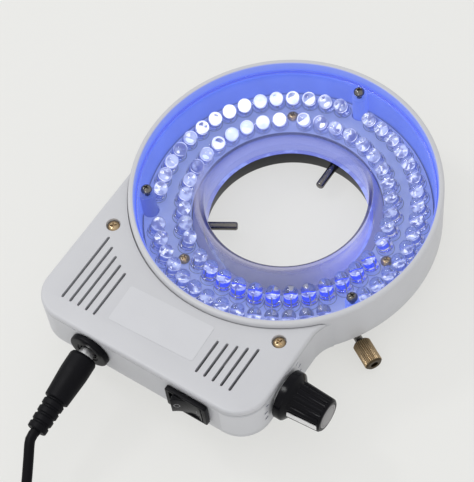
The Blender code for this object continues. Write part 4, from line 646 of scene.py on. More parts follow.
@finish
def bright_steel(colours):
    """Plated steel of the LEDs' leads, the plug's barrel, the blades and the parts inside."""
    return turned_metal("bright_steel", colours.steel, 0.3, depth=0.001 * MM, dull=0.86)


@finish
def dark_steel(colours):
    """Dark steel of the thumbscrews' rods and the window's screws."""
    return turned_metal("dark_steel", colours.dark_steel, 0.2)


@finish
def brushed_cap(colours):
    """Grey insert in the knob's end."""
    look = Finish("brushed_cap", (0.26, 0.255, 0.26), 0.3, 0.85)
    rings = look.noise(0.25 * MM, 2.0)
    look.feed("Base Color", look.blend(rings, (0.16, 0.155, 0.16), (0.36, 0.35, 0.36)))
    look.bump(rings, 0.01 * MM)
    return look


@finish
def white_print(colours):
    """White paint of the knob's line."""
    look = Finish("white_print", (0.78, 0.78, 0.78), 0.5)
    look.feed("Base Color", look.blend(look.noise(0.6 * MM), (0.68, 0.68, 0.68), (0.84, 0.84, 0.84)))
    return look


@finish
def faint_print(colours):
    """Worn grey paint of the rocker's marks."""
    look = Finish("faint_print", (0.16, 0.16, 0.17), 0.5)
    look.feed("Base Color", look.blend(look.noise(0.5 * MM), (0.08, 0.08, 0.09), (0.24, 0.24, 0.25)))
    return look


@finish
def dark_print(colours):
    """Dark ink on the board and the dial."""
    look = Finish("dark_print", (0.05, 0.06, 0.12), 0.5)
    look.feed("Base Color", look.blend(look.noise(0.8 * MM), (0.03, 0.04, 0.1), (0.08, 0.1, 0.2)))
    return look


@finish
def label_film(colours):
    """White film of the bare labels."""
    tone = scaled(colours.white, 1.09)
    look = Finish("label_film", tone, 0.3)
    look.feed("Base Color", look.blend(look.noise(8 * MM), scaled(tone, 0.97), scaled(tone, 1.02)))
    look.feed("Roughness", 0.26 + look.noise(2 * MM) * 0.08)
    return look


@finish
def driver_green(colours):
    """Green board inside the box."""
    return plain_plastic("driver_green", (0.02, 0.16, 0.06), 0.35, 0.5 * MM, 0.02 * MM)


@finish
def red_wire(colours):
    """Insulation of the wires inside the box."""
    return plain_plastic("red_wire", (0.45, 0.03, 0.02), 0.4, 0.4 * MM, 0.01 * MM)


@finish
def grey_wire(colours):
    """Insulation of the two long wires inside the box."""
    return plain_plastic("grey_wire", (0.4, 0.4, 0.42), 0.4, 0.4 * MM, 0.01 * MM)


# Outlines and meshes

def polar(radius, angle, height=0.0):
    """Point at a radius, an angle in degrees and a height."""
    turn = math.radians(angle)
    return Vector((radius * math.cos(turn), radius * math.sin(turn), height))


def arc(centre, radius, start, sweep, steps):
    """Points on an arc, both ends included, with angles in degrees."""
    points = []
    for step in range(steps + 1):
        x, y, _ = polar(radius, start + sweep * step / steps)
        points.append((centre[0] + x, centre[1] + y))
    return points


def softened(corners, steps=EASE_STEPS):
    """Outline through corners (x, y), where a third number rounds its corner."""
    points = []
    for index, (x, y, *size) in enumerate(corners):
        here = Vector((x, y))
        if not size:
            points.append((x, y))
            continue
        before = Vector(corners[index - 1][:2]) - here
        after = Vector(corners[(index + 1) % len(corners)][:2]) - here
        half = before.angle(after) / 2
        reach = min(size[0] / math.tan(half), before.length / 2, after.length / 2)
        middle = here + (before.normalized() + after.normalized()).normalized() * reach / math.cos(half)
        first = here + before.normalized() * reach - middle
        last = here + after.normalized() * reach - middle
        start = math.degrees(math.atan2(first.y, first.x))
        sweep = math.degrees(math.atan2(first.x * last.y - first.y * last.x, first.dot(last)))
        points += arc(middle, first.length, start, sweep, steps)
    return points


def rounded_rectangle(width, height, radius, steps=EASE_STEPS):
    """Outline of a rectangle about the origin with round corners."""
    across = width / 2
    up = height / 2
    signs = ((1, 1), (-1, 1), (-1, -1), (1, -1))
    return softened([(across * right, up * above, radius) for right, above in signs], steps)


def lofted(rings, closed=False):
    """Solid through rings of equally many points; closed joins the last ring to the first."""
    mesh = bmesh.new()
    levels = [[mesh.verts.new(point) for point in ring] for ring in rings]
    around = max(len(level) for level in levels)
    pairs = list(zip(levels, levels[1:]))
    if closed:
        pairs.append((levels[-1], levels[0]))
    for lower, upper in pairs:
        for index in range(around):
            following = (index + 1) % around
            corners = [
                lower[index % len(lower)],
                lower[following % len(lower)],
                upper[following % len(upper)],
                upper[index % len(upper)],
            ]
            corners = list(dict.fromkeys(corners))
            if len(corners) > 2:
                mesh.faces.new(corners)
    if not closed:
        for level in (levels[0], levels[-1]):
            if len(level) > 2:
                mesh.faces.new(level)
    bmesh.ops.recalc_face_normals(mesh, faces=mesh.faces)
    return mesh


def turned(profile, segments=ROUND_STEPS, closed=False, shape=None):
    """Spin (radius, height) points about Z; shape may change the radius by height and angle."""
    rings = []
    for radius, height in profile:
        if radius == 0:
            rings.append([(0, 0, height)])
            continue
        ring = []
        for index in range(segments):
            angle = 360 * (index + 0.5) / segments
            reach = shape(radius, height, math.radians(angle)) if shape else radius
            ring.append(polar(reach, angle, height))
        rings.append(ring)
    return lofted(rings, closed)


def extruded(outline, bottom, top):
    """Solid between two heights with one plan outline."""
    return lofted([[(x, y, bottom) for x, y in outline], [(x, y, top) for x, y in outline]])


def cylinder(radius, bottom, top, segments=SMALL_STEPS):
    """Round bar along Z between two heights."""
    return turned([(radius, bottom), (radius, top)], segments)


def block(low, high):
    """Box between two corners."""
    outline = [(low[0], low[1]), (high[0], low[1]), (high[0], high[1]), (low[0], high[1])]
    return extruded(outline, low[2], high[2])


def eased(mesh, width, steps=2, sharper=40):
    """Round the edges where faces meet more sharply than an angle in degrees."""
    limit = math.radians(sharper)
    edges = [edge for edge in mesh.edges if edge.is_manifold and edge.calc_face_angle(0) > limit]
    bmesh.ops.bevel(
        mesh, geom=edges, offset=width, segments=steps, profile=0.5, affect="EDGES", clamp_overlap=True
    )
    return mesh


def moved(mesh, x=0.0, y=0.0, z=0.0):
    """Shift a mesh."""
    bmesh.ops.translate(mesh, verts=mesh.verts, vec=(x, y, z))
    return mesh


def swung(mesh, angle):
    """Turn a mesh about Z, by an angle in degrees."""
    bmesh.ops.rotate(mesh, verts=mesh.verts, matrix=Matrix.Rotation(math.radians(angle), 3, "Z"))
    return mesh


def turning(angle, axis="Z"):
    """Turn about an axis, by an angle in degrees."""
    return Matrix.Rotation(math.radians(angle), 4, axis)


def facing(direction, point=(0, 0, 0)):
    """Place of a shape whose Z axis points in a direction."""
    return Matrix.Translation(Vector(point)) @ Vector(direction).to_track_quat("Z", "Y").to_matrix().to_4x4()


def placed(mesh, place):
    """Put a mesh in its place."""
    bmesh.ops.transform(mesh, matrix=place, verts=mesh.verts)
    return mesh


def gathered(meshes):
    """One mesh that holds several, which stay apart."""
    crowd = bmesh.new()
    for mesh in meshes:
        single = bpy.data.meshes.new("single")
        mesh.to_mesh(single)
        mesh.free()
        crowd.from_mesh(single)
        bpy.data.meshes.remove(single)
    return crowd


def repeated(mesh, places):
    """The same shape at each of several places."""
    return gathered([placed(mesh.copy(), place) for place in places])


def as_object(mesh, name):
    """Object in the scene that takes a mesh over."""
    data = bpy.data.meshes.new(name)
    mesh.to_mesh(data)
    mesh.free()
    shape = bpy.data.objects.new(name, data)
    bpy.context.scene.collection.objects.link(shape)
    return shape


def combined(body, operation, tools):
    """Unite a mesh with each of the tools, or cut it by them."""
    base = as_object(body, "base")
    for tool in tools:
        guide = as_object(tool, "guide")
        modifier = base.modifiers.new(operation.lower(), "BOOLEAN")
        modifier.operation = operation
        modifier.solver = "EXACT"
        modifier.object = guide
        bpy.context.view_layer.update()
        evaluated = base.evaluated_get(bpy.context.evaluated_depsgraph_get())
        result = bpy.data.meshes.new_from_object(evaluated)
        base.modifiers.clear()
        base.data = result
        bpy.data.objects.remove(guide)
    mesh = bmesh.new()
    mesh.from_mesh(base.data)
    bpy.data.objects.remove(base)
    return mesh


def cut(body, *tools):
    """A mesh without what the tools take up."""
    return combined(body, "DIFFERENCE", tools)


def united(body, *tools):
    """One solid of a mesh and the tools."""
    return combined(body, "UNION", tools)


def piece(name, mesh, look, stands_for=(), body="housing", place=Matrix(), sharp=35):
    """Named piece in the ring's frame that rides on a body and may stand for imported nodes."""
    shape = as_object(mesh, name)
    shape.data.materials.append(look)
    shape.data.shade_smooth()
    shape.data.set_sharp_from_angle(angle=math.radians(sharp))
    shape.matrix_world = Matrix.Translation(AXIS) @ place
    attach(shape, body)
    if stands_for:
        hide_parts(*stands_for)
    return shape


# Shared forms of the housing

def box_outline(inset, steps=CORNER_STEPS):
    """Plan of the switch box, drawn in by inset and closed at the ring's axis."""
    ring, box = sizes().ring, sizes().box
    left = inset - box.left
    right = box.right - inset
    front = inset - box.front
    corner = box.corner - inset
    fillet_x = box.right + box.fillet
    fillet_y = -math.sqrt((ring.radius + box.fillet) ** 2 - fillet_x**2)
    toward_axis = math.degrees(math.atan2(-fillet_y, -fillet_x))
    outline = [(left, -math.sqrt(ring.radius**2 - left**2))]
    outline += arc((left + corner, front + corner), corner, 180, 90, steps)
    outline += arc((right - corner, front + corner), corner, 270, 90, steps)
    outline += arc((fillet_x, fillet_y), box.fillet + inset, 180, toward_axis - 180, steps)
    outline.append((0, 0))
    return outline


def trough_wall():
    """Inner radius of the trough's wall."""
    ring = sizes().ring
    return ring.radius - ring.rim_width - ring.ledge_width


def post_axis():
    """From the ring's axis to a post's axis."""
    return trough_wall() - sizes().ring.post_inset


def middle_of(node):
    """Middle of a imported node's box, in the ring's frame."""
    low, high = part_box(node)
    return (low + high) / 2 - AXIS


def board_top():
    """Height of the LED board's face."""
    ring = sizes().ring
    return ring.floor + ring.seat_rise + GAP + ring.board


def window_top():
    """Height of the window's face."""
    ring = sizes().ring
    return ring.ledge_height + GAP + ring.window


def cover_screw_places():
    """Centres of the left and the right cover screw."""
    return [middle_of(f"cover_screw_{side}").to_2d() for side in ("left", "right")]


def on_front_wall(x, z, depth=0.0):
    """Place of a shape on the front wall, its Z axis pointing out of the box."""
    return facing((0, -1, 0), (x, depth - sizes().box.front, z))


def dimmer_y():
    """Where the knob's axis is along the right wall."""
    low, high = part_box("dimmer_knob")
    return (low.y + high.y) / 2 - AXIS.y


def on_right_wall(depth=0.0):
    """Place of a shape at the dimmer, its Z axis pointing out of the box."""
    return facing((1, 0, 0), (sizes().box.right + depth, dimmer_y(), sizes().controls.dimmer_z))


# Housing, cover and window

WINDOW_SCREW_HOLE = 1.1 * MM
WINDOW_SCREW_HOLE_DEPTH = 8 * MM
WINDOW_HOLE = 1.2 * MM
BOARD_SCREW_HOLE = 1.5 * MM
COVER_BOSS = 3 * MM
COVER_SCREW_HOLE = 1.4 * MM
COVER_SCREW_HOLE_DEPTH = 9 * MM
COVER_RECESS_DEPTH = 1.7 * MM
COVER_RECESS_FLOOR = 2.45 * MM
COVER_RECESS_MOUTH = 2.6 * MM
SWITCH_OPENING = (13.5 * MM, 8.8 * MM)
INLET_HOLE = 5.2 * MM
DIMMER_HOLE = 4.3 * MM
WIRE_HOLE = 1.6 * MM
WIRE_HOLE_ANGLE = -100
WIRE_HOLE_HEIGHT = 7 * MM

# From the box's walls and the ring to the vents
VENTS_FROM_FRONT = 7 * MM
VENTS_FROM_RING = 7.9 * MM
VENTS_FROM_LEFT = 9.2 * MM
VENTS_FROM_RIGHT = 11.9 * MM


def window_post(angle, growth=0.0):
    """Round post with a web to the trough's wall; growth widens it into a notch's shape."""
    ring = sizes().ring
    middle = post_axis()
    reach = trough_wall() + ring.ledge_width / 2 + growth
    web = ring.web_width / 2 + growth
    outline = arc((middle, 0), ring.post_radius + growth, 45, 270, ROUND_STEPS // 2)
    root = middle + ring.post_radius
    outline += [(root, -web), (reach, -web), (reach, web), (root, web)]
    return swung(extruded(outline, ring.floor / 2, ring.ledge_height - 0.1 * MM), angle)


def ring_shell():
    """The round trough with its rim, ledge, floor and spigot."""
    ring = sizes().ring
    wall = trough_wall()
    rim = ring.radius - ring.rim_width
    spigot = ring.bore + ring.spigot_wall
    corners = [
        (ring.bore, -SPIGOT_DEPTH),
        (spigot, -SPIGOT_DEPTH, 0.4 * MM),
        (spigot, 0),
        (ring.radius - ring.draft, 0, ring.foot_round),
        (ring.radius, ring.height, ring.rim_round),
        (rim, ring.height, 0.5 * MM),
        (rim, ring.ledge_height),
        (wall, ring.ledge_height, 0.2 * MM),
        (wall, ring.floor, 0.6 * MM),
        (ring.bore, ring.floor),
    ]
    return turned(softened(corners), RING_STEPS, closed=True)


def box_tray():
    """Floor and walls of the switch box, open at the top and at the ring."""
    ring, box = sizes().ring, sizes().box
    top = box.cover_top - box.cover_edge - GAP
    foot = arc((0, ring.foot_round), ring.foot_round, -90, 90, EASE_STEPS)
    levels = [(ring.foot_round - x, z) for x, z in foot] + [(0, top)]
    tray = lofted([[(x, y, z) for x, y in box_outline(inset)] for inset, z in levels])
    pocket = extruded(box_outline(box.wall), ring.floor, top + OVERRUN)
    ring_space = cylinder(ring.radius - ring.rim_width / 2, -OVERRUN, top + OVERRUN, RING_STEPS)
    return cut(tray, pocket, ring_space)


def upright(radius, x, y, bottom, top):
    """Round post at a place in plan."""
    return moved(cylinder(radius, bottom, top), x, y)


def housing_moulding():
    """Trough and box in one moulding, with posts, bosses and the walls' openings."""
    ring, box, controls = sizes().ring, sizes().box, sizes().controls
    top = box.cover_top - box.cover_edge - GAP
    pillars = [window_post(angle) for angle in POST_ANGLES]
    holes = []
    for angle in POST_ANGLES:
        x, y, _ = polar(post_axis(), angle)
        foot = ring.ledge_height - WINDOW_SCREW_HOLE_DEPTH
        holes.append(upright(WINDOW_SCREW_HOLE, x, y, foot, ring.ledge_height + OVERRUN))
    for angle in BOARD_SCREW_ANGLES:
        x, y, _ = polar(ring.board_screw, angle)
        pillars.append(upright(ring.seat_radius, x, y, ring.floor / 2, ring.floor + ring.seat_rise))
        holes.append(upright(BOARD_SCREW_HOLE, x, y, -OVERRUN, ring.floor + OVERRUN))
    for x, y in cover_screw_places():
        pillars.append(upright(COVER_BOSS, x, y, ring.floor / 2, top))
        holes.append(upright(COVER_SCREW_HOLE, x, y, top - COVER_SCREW_HOLE_DEPTH, top + OVERRUN))
    body = united(ring_shell(), box_tray(), gathered(pillars))
    panel = box.wall + OVERRUN
    opening = extruded(rounded_rectangle(*SWITCH_OPENING, GAP), -panel, OVERRUN)
    holes.append(placed(opening, on_front_wall(controls.switch_x, controls.switch_z)))
    inlet = cylinder(INLET_HOLE, -panel, OVERRUN)
    holes.append(placed(inlet, on_front_wall(-controls.inlet_x, controls.inlet_z)))
    holes.append(placed(cylinder(DIMMER_HOLE, -panel, OVERRUN), on_right_wall()))
    way = cylinder(WIRE_HOLE, trough_wall() - OVERRUN, ring.radius + OVERRUN)
    holes.append(placed(way, facing(polar(1, WIRE_HOLE_ANGLE), (0, 0, WIRE_HOLE_HEIGHT))))
    return cut(body, gathered(holes))


def slot_outline(x, front, back, width):
    """Slot along Y with round ends."""
    radius = width / 2
    far = arc((x, back - radius), radius, 0, 180, EASE_STEPS)
    return far + arc((x, front + radius), radius, 180, 180, EASE_STEPS)


def cover_plate():
    """Flat cover with a round upper edge, ten vent slots and two screw recesses."""
    ring, box = sizes().ring, sizes().box
    bottom = box.cover_top - box.cover_edge
    levels = [(0, bottom)]
    for x, z in arc((0, box.cover_top - box.cover_round), box.cover_round, 0, 90, EASE_STEPS):
        levels.append((box.cover_round - x, z))
    plate = lofted([[(x, y, z) for x, y in box_outline(inset)] for inset, z in levels])
    low = bottom - OVERRUN
    high = box.cover_top + OVERRUN
    front = VENTS_FROM_FRONT - box.front
    reach = ring.radius + VENTS_FROM_RING
    holes = []
    last = box.right - VENTS_FROM_RIGHT - box.vent_pitch * (box.vent_count - 1)
    for first in (VENTS_FROM_LEFT - box.left, last):
        for index in range(box.vent_count):
            x = first + box.vent_pitch * index
            back = -math.sqrt(reach**2 - x**2)
            holes.append(extruded(slot_outline(x, front, back, box.vent_width), low, high))
    seat = box.cover_top - COVER_RECESS_DEPTH
    recess = [
        (0, low),
        (COVER_SCREW_HOLE, low),
        (COVER_SCREW_HOLE, seat),
        (COVER_RECESS_FLOOR, seat),
        (COVER_RECESS_MOUTH, high),
        (0, high),
    ]
    for x, y in cover_screw_places():
        holes.append(moved(turned(recess, SMALL_STEPS), x, y))
    return cut(plate, cylinder(ring.radius + GAP, low, high, RING_STEPS), gathered(holes))


def window_moulding():
    """Flat clear ring over the LEDs, bent down into a tube that lines the bore."""
    ring = sizes().ring
    top = window_top()
    outer = ring.radius - ring.rim_width - GAP
    tube_outer = ring.bore - GAP
    tube_inner = tube_outer - ring.window
    under_bend = ring.window_bend - ring.window
    corners = [
        (tube_inner, -SPIGOT_DEPTH, 0.25 * MM),
        (tube_outer, -SPIGOT_DEPTH, 0.25 * MM),
        (tube_outer, top - ring.window, under_bend),
        (outer, top - ring.window, 0.2 * MM),
        (outer, top, 0.3 * MM),
        (tube_inner, top, ring.window_bend),
    ]
    holes = []
    for angle in POST_ANGLES:
        x, y, _ = polar(post_axis(), angle)
        holes.append(upright(WINDOW_HOLE, x, y, top - ring.window - OVERRUN, top + OVERRUN))
    return cut(turned(softened(corners, CORNER_STEPS // 2), RING_STEPS, closed=True), gathered(holes))


# LED board

CUP_FLARE = 1.2


def row_angles(middles, number, radius, spacing, short=None):
    """Angles of a row of LEDs in even runs about the middles; the short run has one fewer."""
    pitch = math.degrees(spacing / radius)
    angles = []
    for middle in middles:
        members = number - 1 if middle == short else number
        angles += [middle + pitch * (index - (members - 1) / 2) for index in range(members)]
    return angles


def lamp_places():
    """Place of every LED: its base raised until its flange's low side meets the board."""
    lamps = sizes().lamps
    inner_middles = [angle + 60 for angle in BOARD_SCREW_ANGLES]
    outer_middles = [angle + 60 for angle in POST_ANGLES]
    inner = row_angles(inner_middles, lamps.inner_count, lamps.inner_row, lamps.inner_spacing)
    outer_row = (lamps.outer_count, lamps.outer_row, lamps.outer_spacing)
    outer = row_angles(outer_middles, *outer_row, outer_middles[1])
    rise = board_top() + lamps.flange * math.sin(lamps.lean)
    lean = Matrix.Rotation(-lamps.lean, 4, "Y")
    places = []
    for radius, angles in ((lamps.inner_row, inner), (lamps.outer_row, outer)):
        places += [turning(angle) @ Matrix.Translation((radius, 0, rise)) @ lean for angle in angles]
    return places


def lens():
    """Flanged lens with a round nose."""
    lamps = sizes().lamps
    nose = lamps.height - lamps.radius
    corners = [
        (0, 0),
        (lamps.flange, 0, 0.1 * MM),
        (lamps.flange, lamps.flange_height, 0.15 * MM),
        (lamps.radius, lamps.flange_height, 0.15 * MM),
        (lamps.radius, nose),
    ]
    profile = softened(corners, 2)
    profile += arc((0, nose), lamps.radius, 0, 90, 8)[1:-1] + [(0, lamps.height)]
    return turned(profile, SLIM_STEPS)


def lead_frame():
    """Two leads through the board, and a short and a tall post beside the cup."""
    lamps = sizes().lamps
    half = lamps.lead / 2
    foot = -lamps.flange * 1.2
    side = 1.27 * MM
    rim = lamps.cup * CUP_FLARE + 0.2 * MM + half
    tall = lamps.cup_height + 1.0 * MM
    short = lamps.cup_height + 0.3 * MM
    bars = [
        (-side, foot, lamps.cup_depth),
        (side, foot, lamps.cup_depth),
        (rim, lamps.flange_height, tall),
        (-rim, lamps.flange_height, short),
    ]
    return gathered([block((x - half, -half, low), (x + half, half, high)) for x, low, high in bars])


def cup_light():
    """Flat light at the foot of a lens, which its nose shows large from near its axis."""
    lamps = sizes().lamps
    low = lamps.cup_depth
    corners = [(0, low), (lamps.light, low), (lamps.light * 0.85, low + 0.1 * MM), (0, low + 0.15 * MM)]
    return moved(turned(corners, CUP_STEPS), y=-lamps.light_shift)


def cup_lining():
    """Lit inner face of the cup round the light."""
    lamps = sizes().lamps
    low = lamps.cup_depth
    high = lamps.cup_height - 0.05 * MM
    foot = lamps.cup - 0.03 * MM
    mouth = lamps.cup * CUP_FLARE - 0.05 * MM
    film = 0.06 * MM
    corners = [
        (lamps.light, low),
        (foot, low),
        (mouth, high),
        (mouth - film, high),
        (foot - film, low + film),
        (lamps.light, low + film),
    ]
    return moved(turned(corners, CUP_STEPS, closed=True), y=-lamps.light_shift)


def lamp_cup():
    """Flared cup round the light."""
    lamps = sizes().lamps
    wall = 0.12 * MM
    mouth = lamps.cup * CUP_FLARE
    low = lamps.cup_depth - 0.1 * MM
    corners = [
        (0, low - wall),
        (lamps.cup + wall, low - wall),
        (mouth + wall, lamps.cup_height),
        (mouth, lamps.cup_height),
        (lamps.cup, low),
        (0, low),
    ]
    return moved(turned(corners, CUP_STEPS), y=-lamps.light_shift)


def board_plate():
    """Ring-shaped board, notched round the posts, with holes for its screws."""
    ring = sizes().ring
    top = board_top()
    outer = trough_wall() - 0.4 * MM
    corners = [
        (ring.board_inner, top - ring.board, 0.1 * MM),
        (outer, top - ring.board, 0.1 * MM),
        (outer, top, 0.1 * MM),
        (ring.board_inner, top, 0.1 * MM),
    ]
    holes = [window_post(angle, 0.5 * MM) for angle in POST_ANGLES]
    for angle in BOARD_SCREW_ANGLES:
        x, y, _ = polar(ring.board_screw, angle)
        holes.append(upright(BOARD_SCREW_HOLE, x, y, top - ring.board - OVERRUN, top + OVERRUN))
    return cut(turned(softened(corners, 2), RING_STEPS, closed=True), gathered(holes))


def board_print():
    """Thin printed circles round the LEDs' feet."""
    low = board_top() + PRINT_LIFT / 4
    high = board_top() + PRINT_LIFT
    inner = sizes().lamps.flange + 0.12 * MM
    outer = inner + 0.16 * MM
    corners = [(inner, low), (outer, low), (outer, high), (inner, high)]
    circles = []
    for place in lamp_places():
        x, y, _ = place.translation
        circles.append(moved(turned(corners, SLIM_STEPS, closed=True), x, y))
    return gathered(circles)


# Screws, collar and thumbscrews

POST_SCREW = {"head": 1.9 * MM, "height": 1.8 * MM, "shank": 0.9 * MM, "reach": 8 * MM}
SEAT_SCREW = {"head": 2.0 * MM, "height": 1.4 * MM, "shank": 1.2 * MM, "reach": 7.4 * MM}
LID_SCREW = {"head": 2.15 * MM, "height": 1.1 * MM, "shank": 1.1 * MM, "reach": 9 * MM}
LID_SCREW_DEPTH = 1.4 * MM
COLLAR_HOLE_DEPTH = 4 * MM
THREAD_DEPTH = 0.24 * MM
ROD_IN_HEAD = 4.7 * MM
HEAD_HOLE_DEPTH = 5 * MM
KNURLS = 28
KNURL_DEPTH = 0.36 * MM

# How far each thumbscrew's tip stands in from the bore
CLAMP_REACHES = (10.5 * MM, 11.8 * MM, 2.5 * MM)


def cross_screw(head, height, shank, reach):
    """Domed screw with a cross recess, its head's seat at zero and its shank down."""
    corners = [
        (0, -reach),
        (shank, -reach, 0.2 * MM),
        (shank, 0),
        (head, 0, 0.15 * MM),
        (head, height * 0.45, height * 0.4),
        (head * 0.55, height, head * 0.4),
        (0, height),
    ]
    body = turned(softened(corners), SMALL_STEPS)
    depth = height * 0.4
    arm = head * 0.62
    half = head * 0.13
    bars = []
    for turn in (0, 90):
        top = [(-arm, -half), (arm, -half), (arm, half), (-arm, half)]
        foot = [(x * 0.55, y * 0.6) for x, y in top]
        levels = [[(x, y, depth) for x, y in foot], [(x, y, height + GAP) for x, y in top]]
        bars.append(swung(lofted(levels), turn))
    return cut(body, united(*bars))


def threaded(start, end, pitch, depth):
    """Shape for turned: a screw thread of a pitch and depth between two heights."""

    def shape(radius, height, angle):
        """Radius of the thread's flank."""
        if not start < height < end:
            return radius
        wave = (height / pitch - angle / math.tau) % 1.0
        return radius - depth * abs(2 * wave - 1)

    return shape


def collar_ring():
    """Collar under the ring, with three ears for the board's screws."""
    ring, fittings = sizes().ring, sizes().fittings
    seat = ring.bore + ring.spigot_wall + GAP
    outer = seat + fittings.collar_rim
    foot = -fittings.collar_depth
    corners = [
        (ring.bore, foot, 0.4 * MM),
        (outer, foot, 0.6 * MM),
        (outer, -GAP),
        (seat, -GAP),
        (seat, -SPIGOT_DEPTH - GAP),
        (ring.bore, -SPIGOT_DEPTH - GAP, 0.3 * MM),
    ]
    ears = []
    holes = []
    for angle in BOARD_SCREW_ANGLES:
        outline = arc((ring.board_screw, 0), fittings.ear_radius, -90, 180, ROUND_STEPS // 2)
        root = (seat + outer) / 2
        outline += [(root, fittings.ear_radius), (root, -fittings.ear_radius)]
        ears.append(eased(swung(extruded(outline, -fittings.ear_thickness, -GAP), angle), 0.4 * MM))
        x, y, _ = polar(ring.board_screw, angle)
        holes.append(upright(BOARD_SCREW_HOLE, x, y, -GAP - COLLAR_HOLE_DEPTH, OVERRUN))
    for angle in POST_ANGLES:
        way = cylinder(fittings.rod + GAP, ring.bore - OVERRUN, outer + OVERRUN)
        holes.append(placed(way, facing(polar(1, angle), (0, 0, -fittings.clamp_drop))))
    collar = united(turned(softened(corners), RING_STEPS, closed=True), gathered(ears))
    return cut(collar, gathered(holes))


def clamp_rod():
    """Rod with a plain rounded tip and a thread from there to the head."""
    fittings = sizes().fittings
    end = fittings.rod_reach + ROD_IN_HEAD
    step = fittings.thread_pitch / 6
    profile = softened([(0, 0), (fittings.rod, 0, 0.9 * MM), (fittings.rod, fittings.rod_plain)])
    turns = int((end - fittings.rod_plain) / step)
    profile += [(fittings.rod, fittings.rod_plain + step * index) for index in range(1, turns)]
    profile += [(fittings.rod, end), (0, end)]
    shape = threaded(fittings.rod_plain, fittings.rod_reach, fittings.thread_pitch, THREAD_DEPTH)
    return turned(profile, SLIM_STEPS, shape=shape)


def clamp_head():
    """Brass head with a fine straight knurl and a recess in its end."""
    fittings = sizes().fittings
    start = fittings.rod_reach
    end = start + fittings.head_length
    bore = fittings.rod + GAP

    def knurl(radius, height, angle):
        """Grooves along the head's widest part."""
        if radius < fittings.head - 0.1 * MM:
            return radius
        return radius - KNURL_DEPTH * (1 - abs(math.sin(KNURLS * angle / 2)) ** 0.8)

    corners = [
        (0, start + HEAD_HOLE_DEPTH),
        (bore, start + HEAD_HOLE_DEPTH),
        (bore, start, 0.2 * MM),
        (fittings.head - 0.7 * MM, start, 0.2 * MM),
        (fittings.head, start + 0.7 * MM),
        (fittings.head, end - 0.7 * MM),
        (fittings.head - 0.7 * MM, end, 0.2 * MM),
        (1.3 * MM, end, 0.15 * MM),
        (1.3 * MM, end - 0.8 * MM),
        (0, end - 0.8 * MM),
    ]
    return turned(softened(corners), KNURLS * 6, shape=knurl)


# Controls

BEZEL_BODY = (12.9 * MM, 8.2 * MM)
BEZEL_BODY_DEPTH = 15 * MM
ROCKER_ROOM_DEPTH = 4.6 * MM
ROCKER_PIVOT_DEPTH = 1 * MM
ROCKER_TILT = 11
ROCKER_PIN = 0.8 * MM
MARK_REACH = 3.5 * MM
MARK_SIZE = 1.0 * MM
KNOB_BASE = 1.2 * MM
KNOB_SHAFT_HOLE = 3.1 * MM
KNOB_SHAFT_REACH = 13.3 * MM
KNOB_NUT_HOLE = 7.2 * MM
KNOB_NUT_DEPTH = 2.4 * MM
KNOB_SKIRT_HEIGHT = 3.2 * MM
POINTER_ANGLE = 174.0
POINTER_WIDTH = 1.9 * MM
INLET_BODY = 4.9 * MM
INLET_BODY_DEPTH = 13 * MM
INLET_SOCKET = 3.2 * MM
INLET_SOCKET_DEPTH = 10 * MM


def switch_bezel():
    """Bezel and body of the rocker switch, hollow for the rocker."""
    controls = sizes().controls
    face = GAP + controls.bezel
    bezel = extruded(rounded_rectangle(controls.bezel_width, controls.bezel_height, 0.8 * MM), GAP, face)
    bezel = eased(bezel, 0.28 * MM, 3, 60)
    body = extruded(rounded_rectangle(*BEZEL_BODY, GAP), -BEZEL_BODY_DEPTH, GAP + controls.bezel / 2)
    half_wide = controls.rocker_width / 2 + 1.0 * MM
    half_high = controls.rocker_height / 2 + GAP
    room = block((-half_wide, -half_high, -ROCKER_ROOM_DEPTH), (half_wide, half_high, face + OVERRUN))
    return cut(united(bezel, body), room)


def dish_point(u, v, lift=0.0):
    """Point of the rocker's hollow face: u along it, v up it, lifted off it."""
    controls = sizes().controls
    half = controls.rocker_width / 2
    radius = (half**2 + controls.rocker_dish**2) / (2 * controls.rocker_dish)
    centre = controls.rocker_dish - controls.rocker_front - radius
    return Vector((u, centre + math.sqrt(radius**2 - u**2) - lift, v))


def rocker():
    """Rocker with a hollow face and round edges."""
    controls = sizes().controls
    half = controls.rocker_width / 2
    steps = 16
    outline = [tuple(dish_point(half - half * 2 * index / steps, 0)[:2]) for index in range(steps + 1)]
    outline = [(half, 1 * MM), *outline, (-half, 1 * MM), (-half / 2, 2 * MM), (half / 2, 2 * MM)]
    end = controls.rocker_height / 2
    pin = cylinder(ROCKER_PIN, -end - ROCKER_PIN, end + ROCKER_PIN)
    return united(eased(extruded(outline, -end, end), 0.35 * MM, 3), pin)


def dish_strip(path, width, lift=0.03 * MM):
    """Thin flat line on the rocker's face along (u, v) points."""
    mesh = bmesh.new()
    rows = []
    for index, point in enumerate(path):
        before = Vector(path[max(index - 1, 0)])
        after = Vector(path[min(index + 1, len(path) - 1)])
        along = (after - before).normalized()
        side = Vector((-along.y, along.x)) * width / 2
        row = []
        for sign, height in ((-1, 0.0), (-1, lift), (1, lift), (1, 0.0)):
            spot = Vector(point) + side * sign
            row.append(mesh.verts.new(dish_point(spot.x, spot.y, height)))
        rows.append(row)
    for lower, upper in zip(rows, rows[1:]):
        for index in range(4):
            following = (index + 1) % 4
            mesh.faces.new((lower[index], lower[following], upper[following], upper[index]))
    mesh.faces.new(rows[0])
    mesh.faces.new(rows[-1])
    bmesh.ops.recalc_face_normals(mesh, faces=mesh.faces)
    return mesh


def rocker_marks():
    """A ring for off and a bar for on."""
    circle = arc((-MARK_REACH, 0), MARK_SIZE * 0.95, 0, 359.9, 28)
    bar = [(MARK_REACH, -MARK_SIZE), (MARK_REACH, MARK_SIZE)]
    return gathered([dish_strip(circle, 0.3 * MM), dish_strip(bar, 0.32 * MM)])


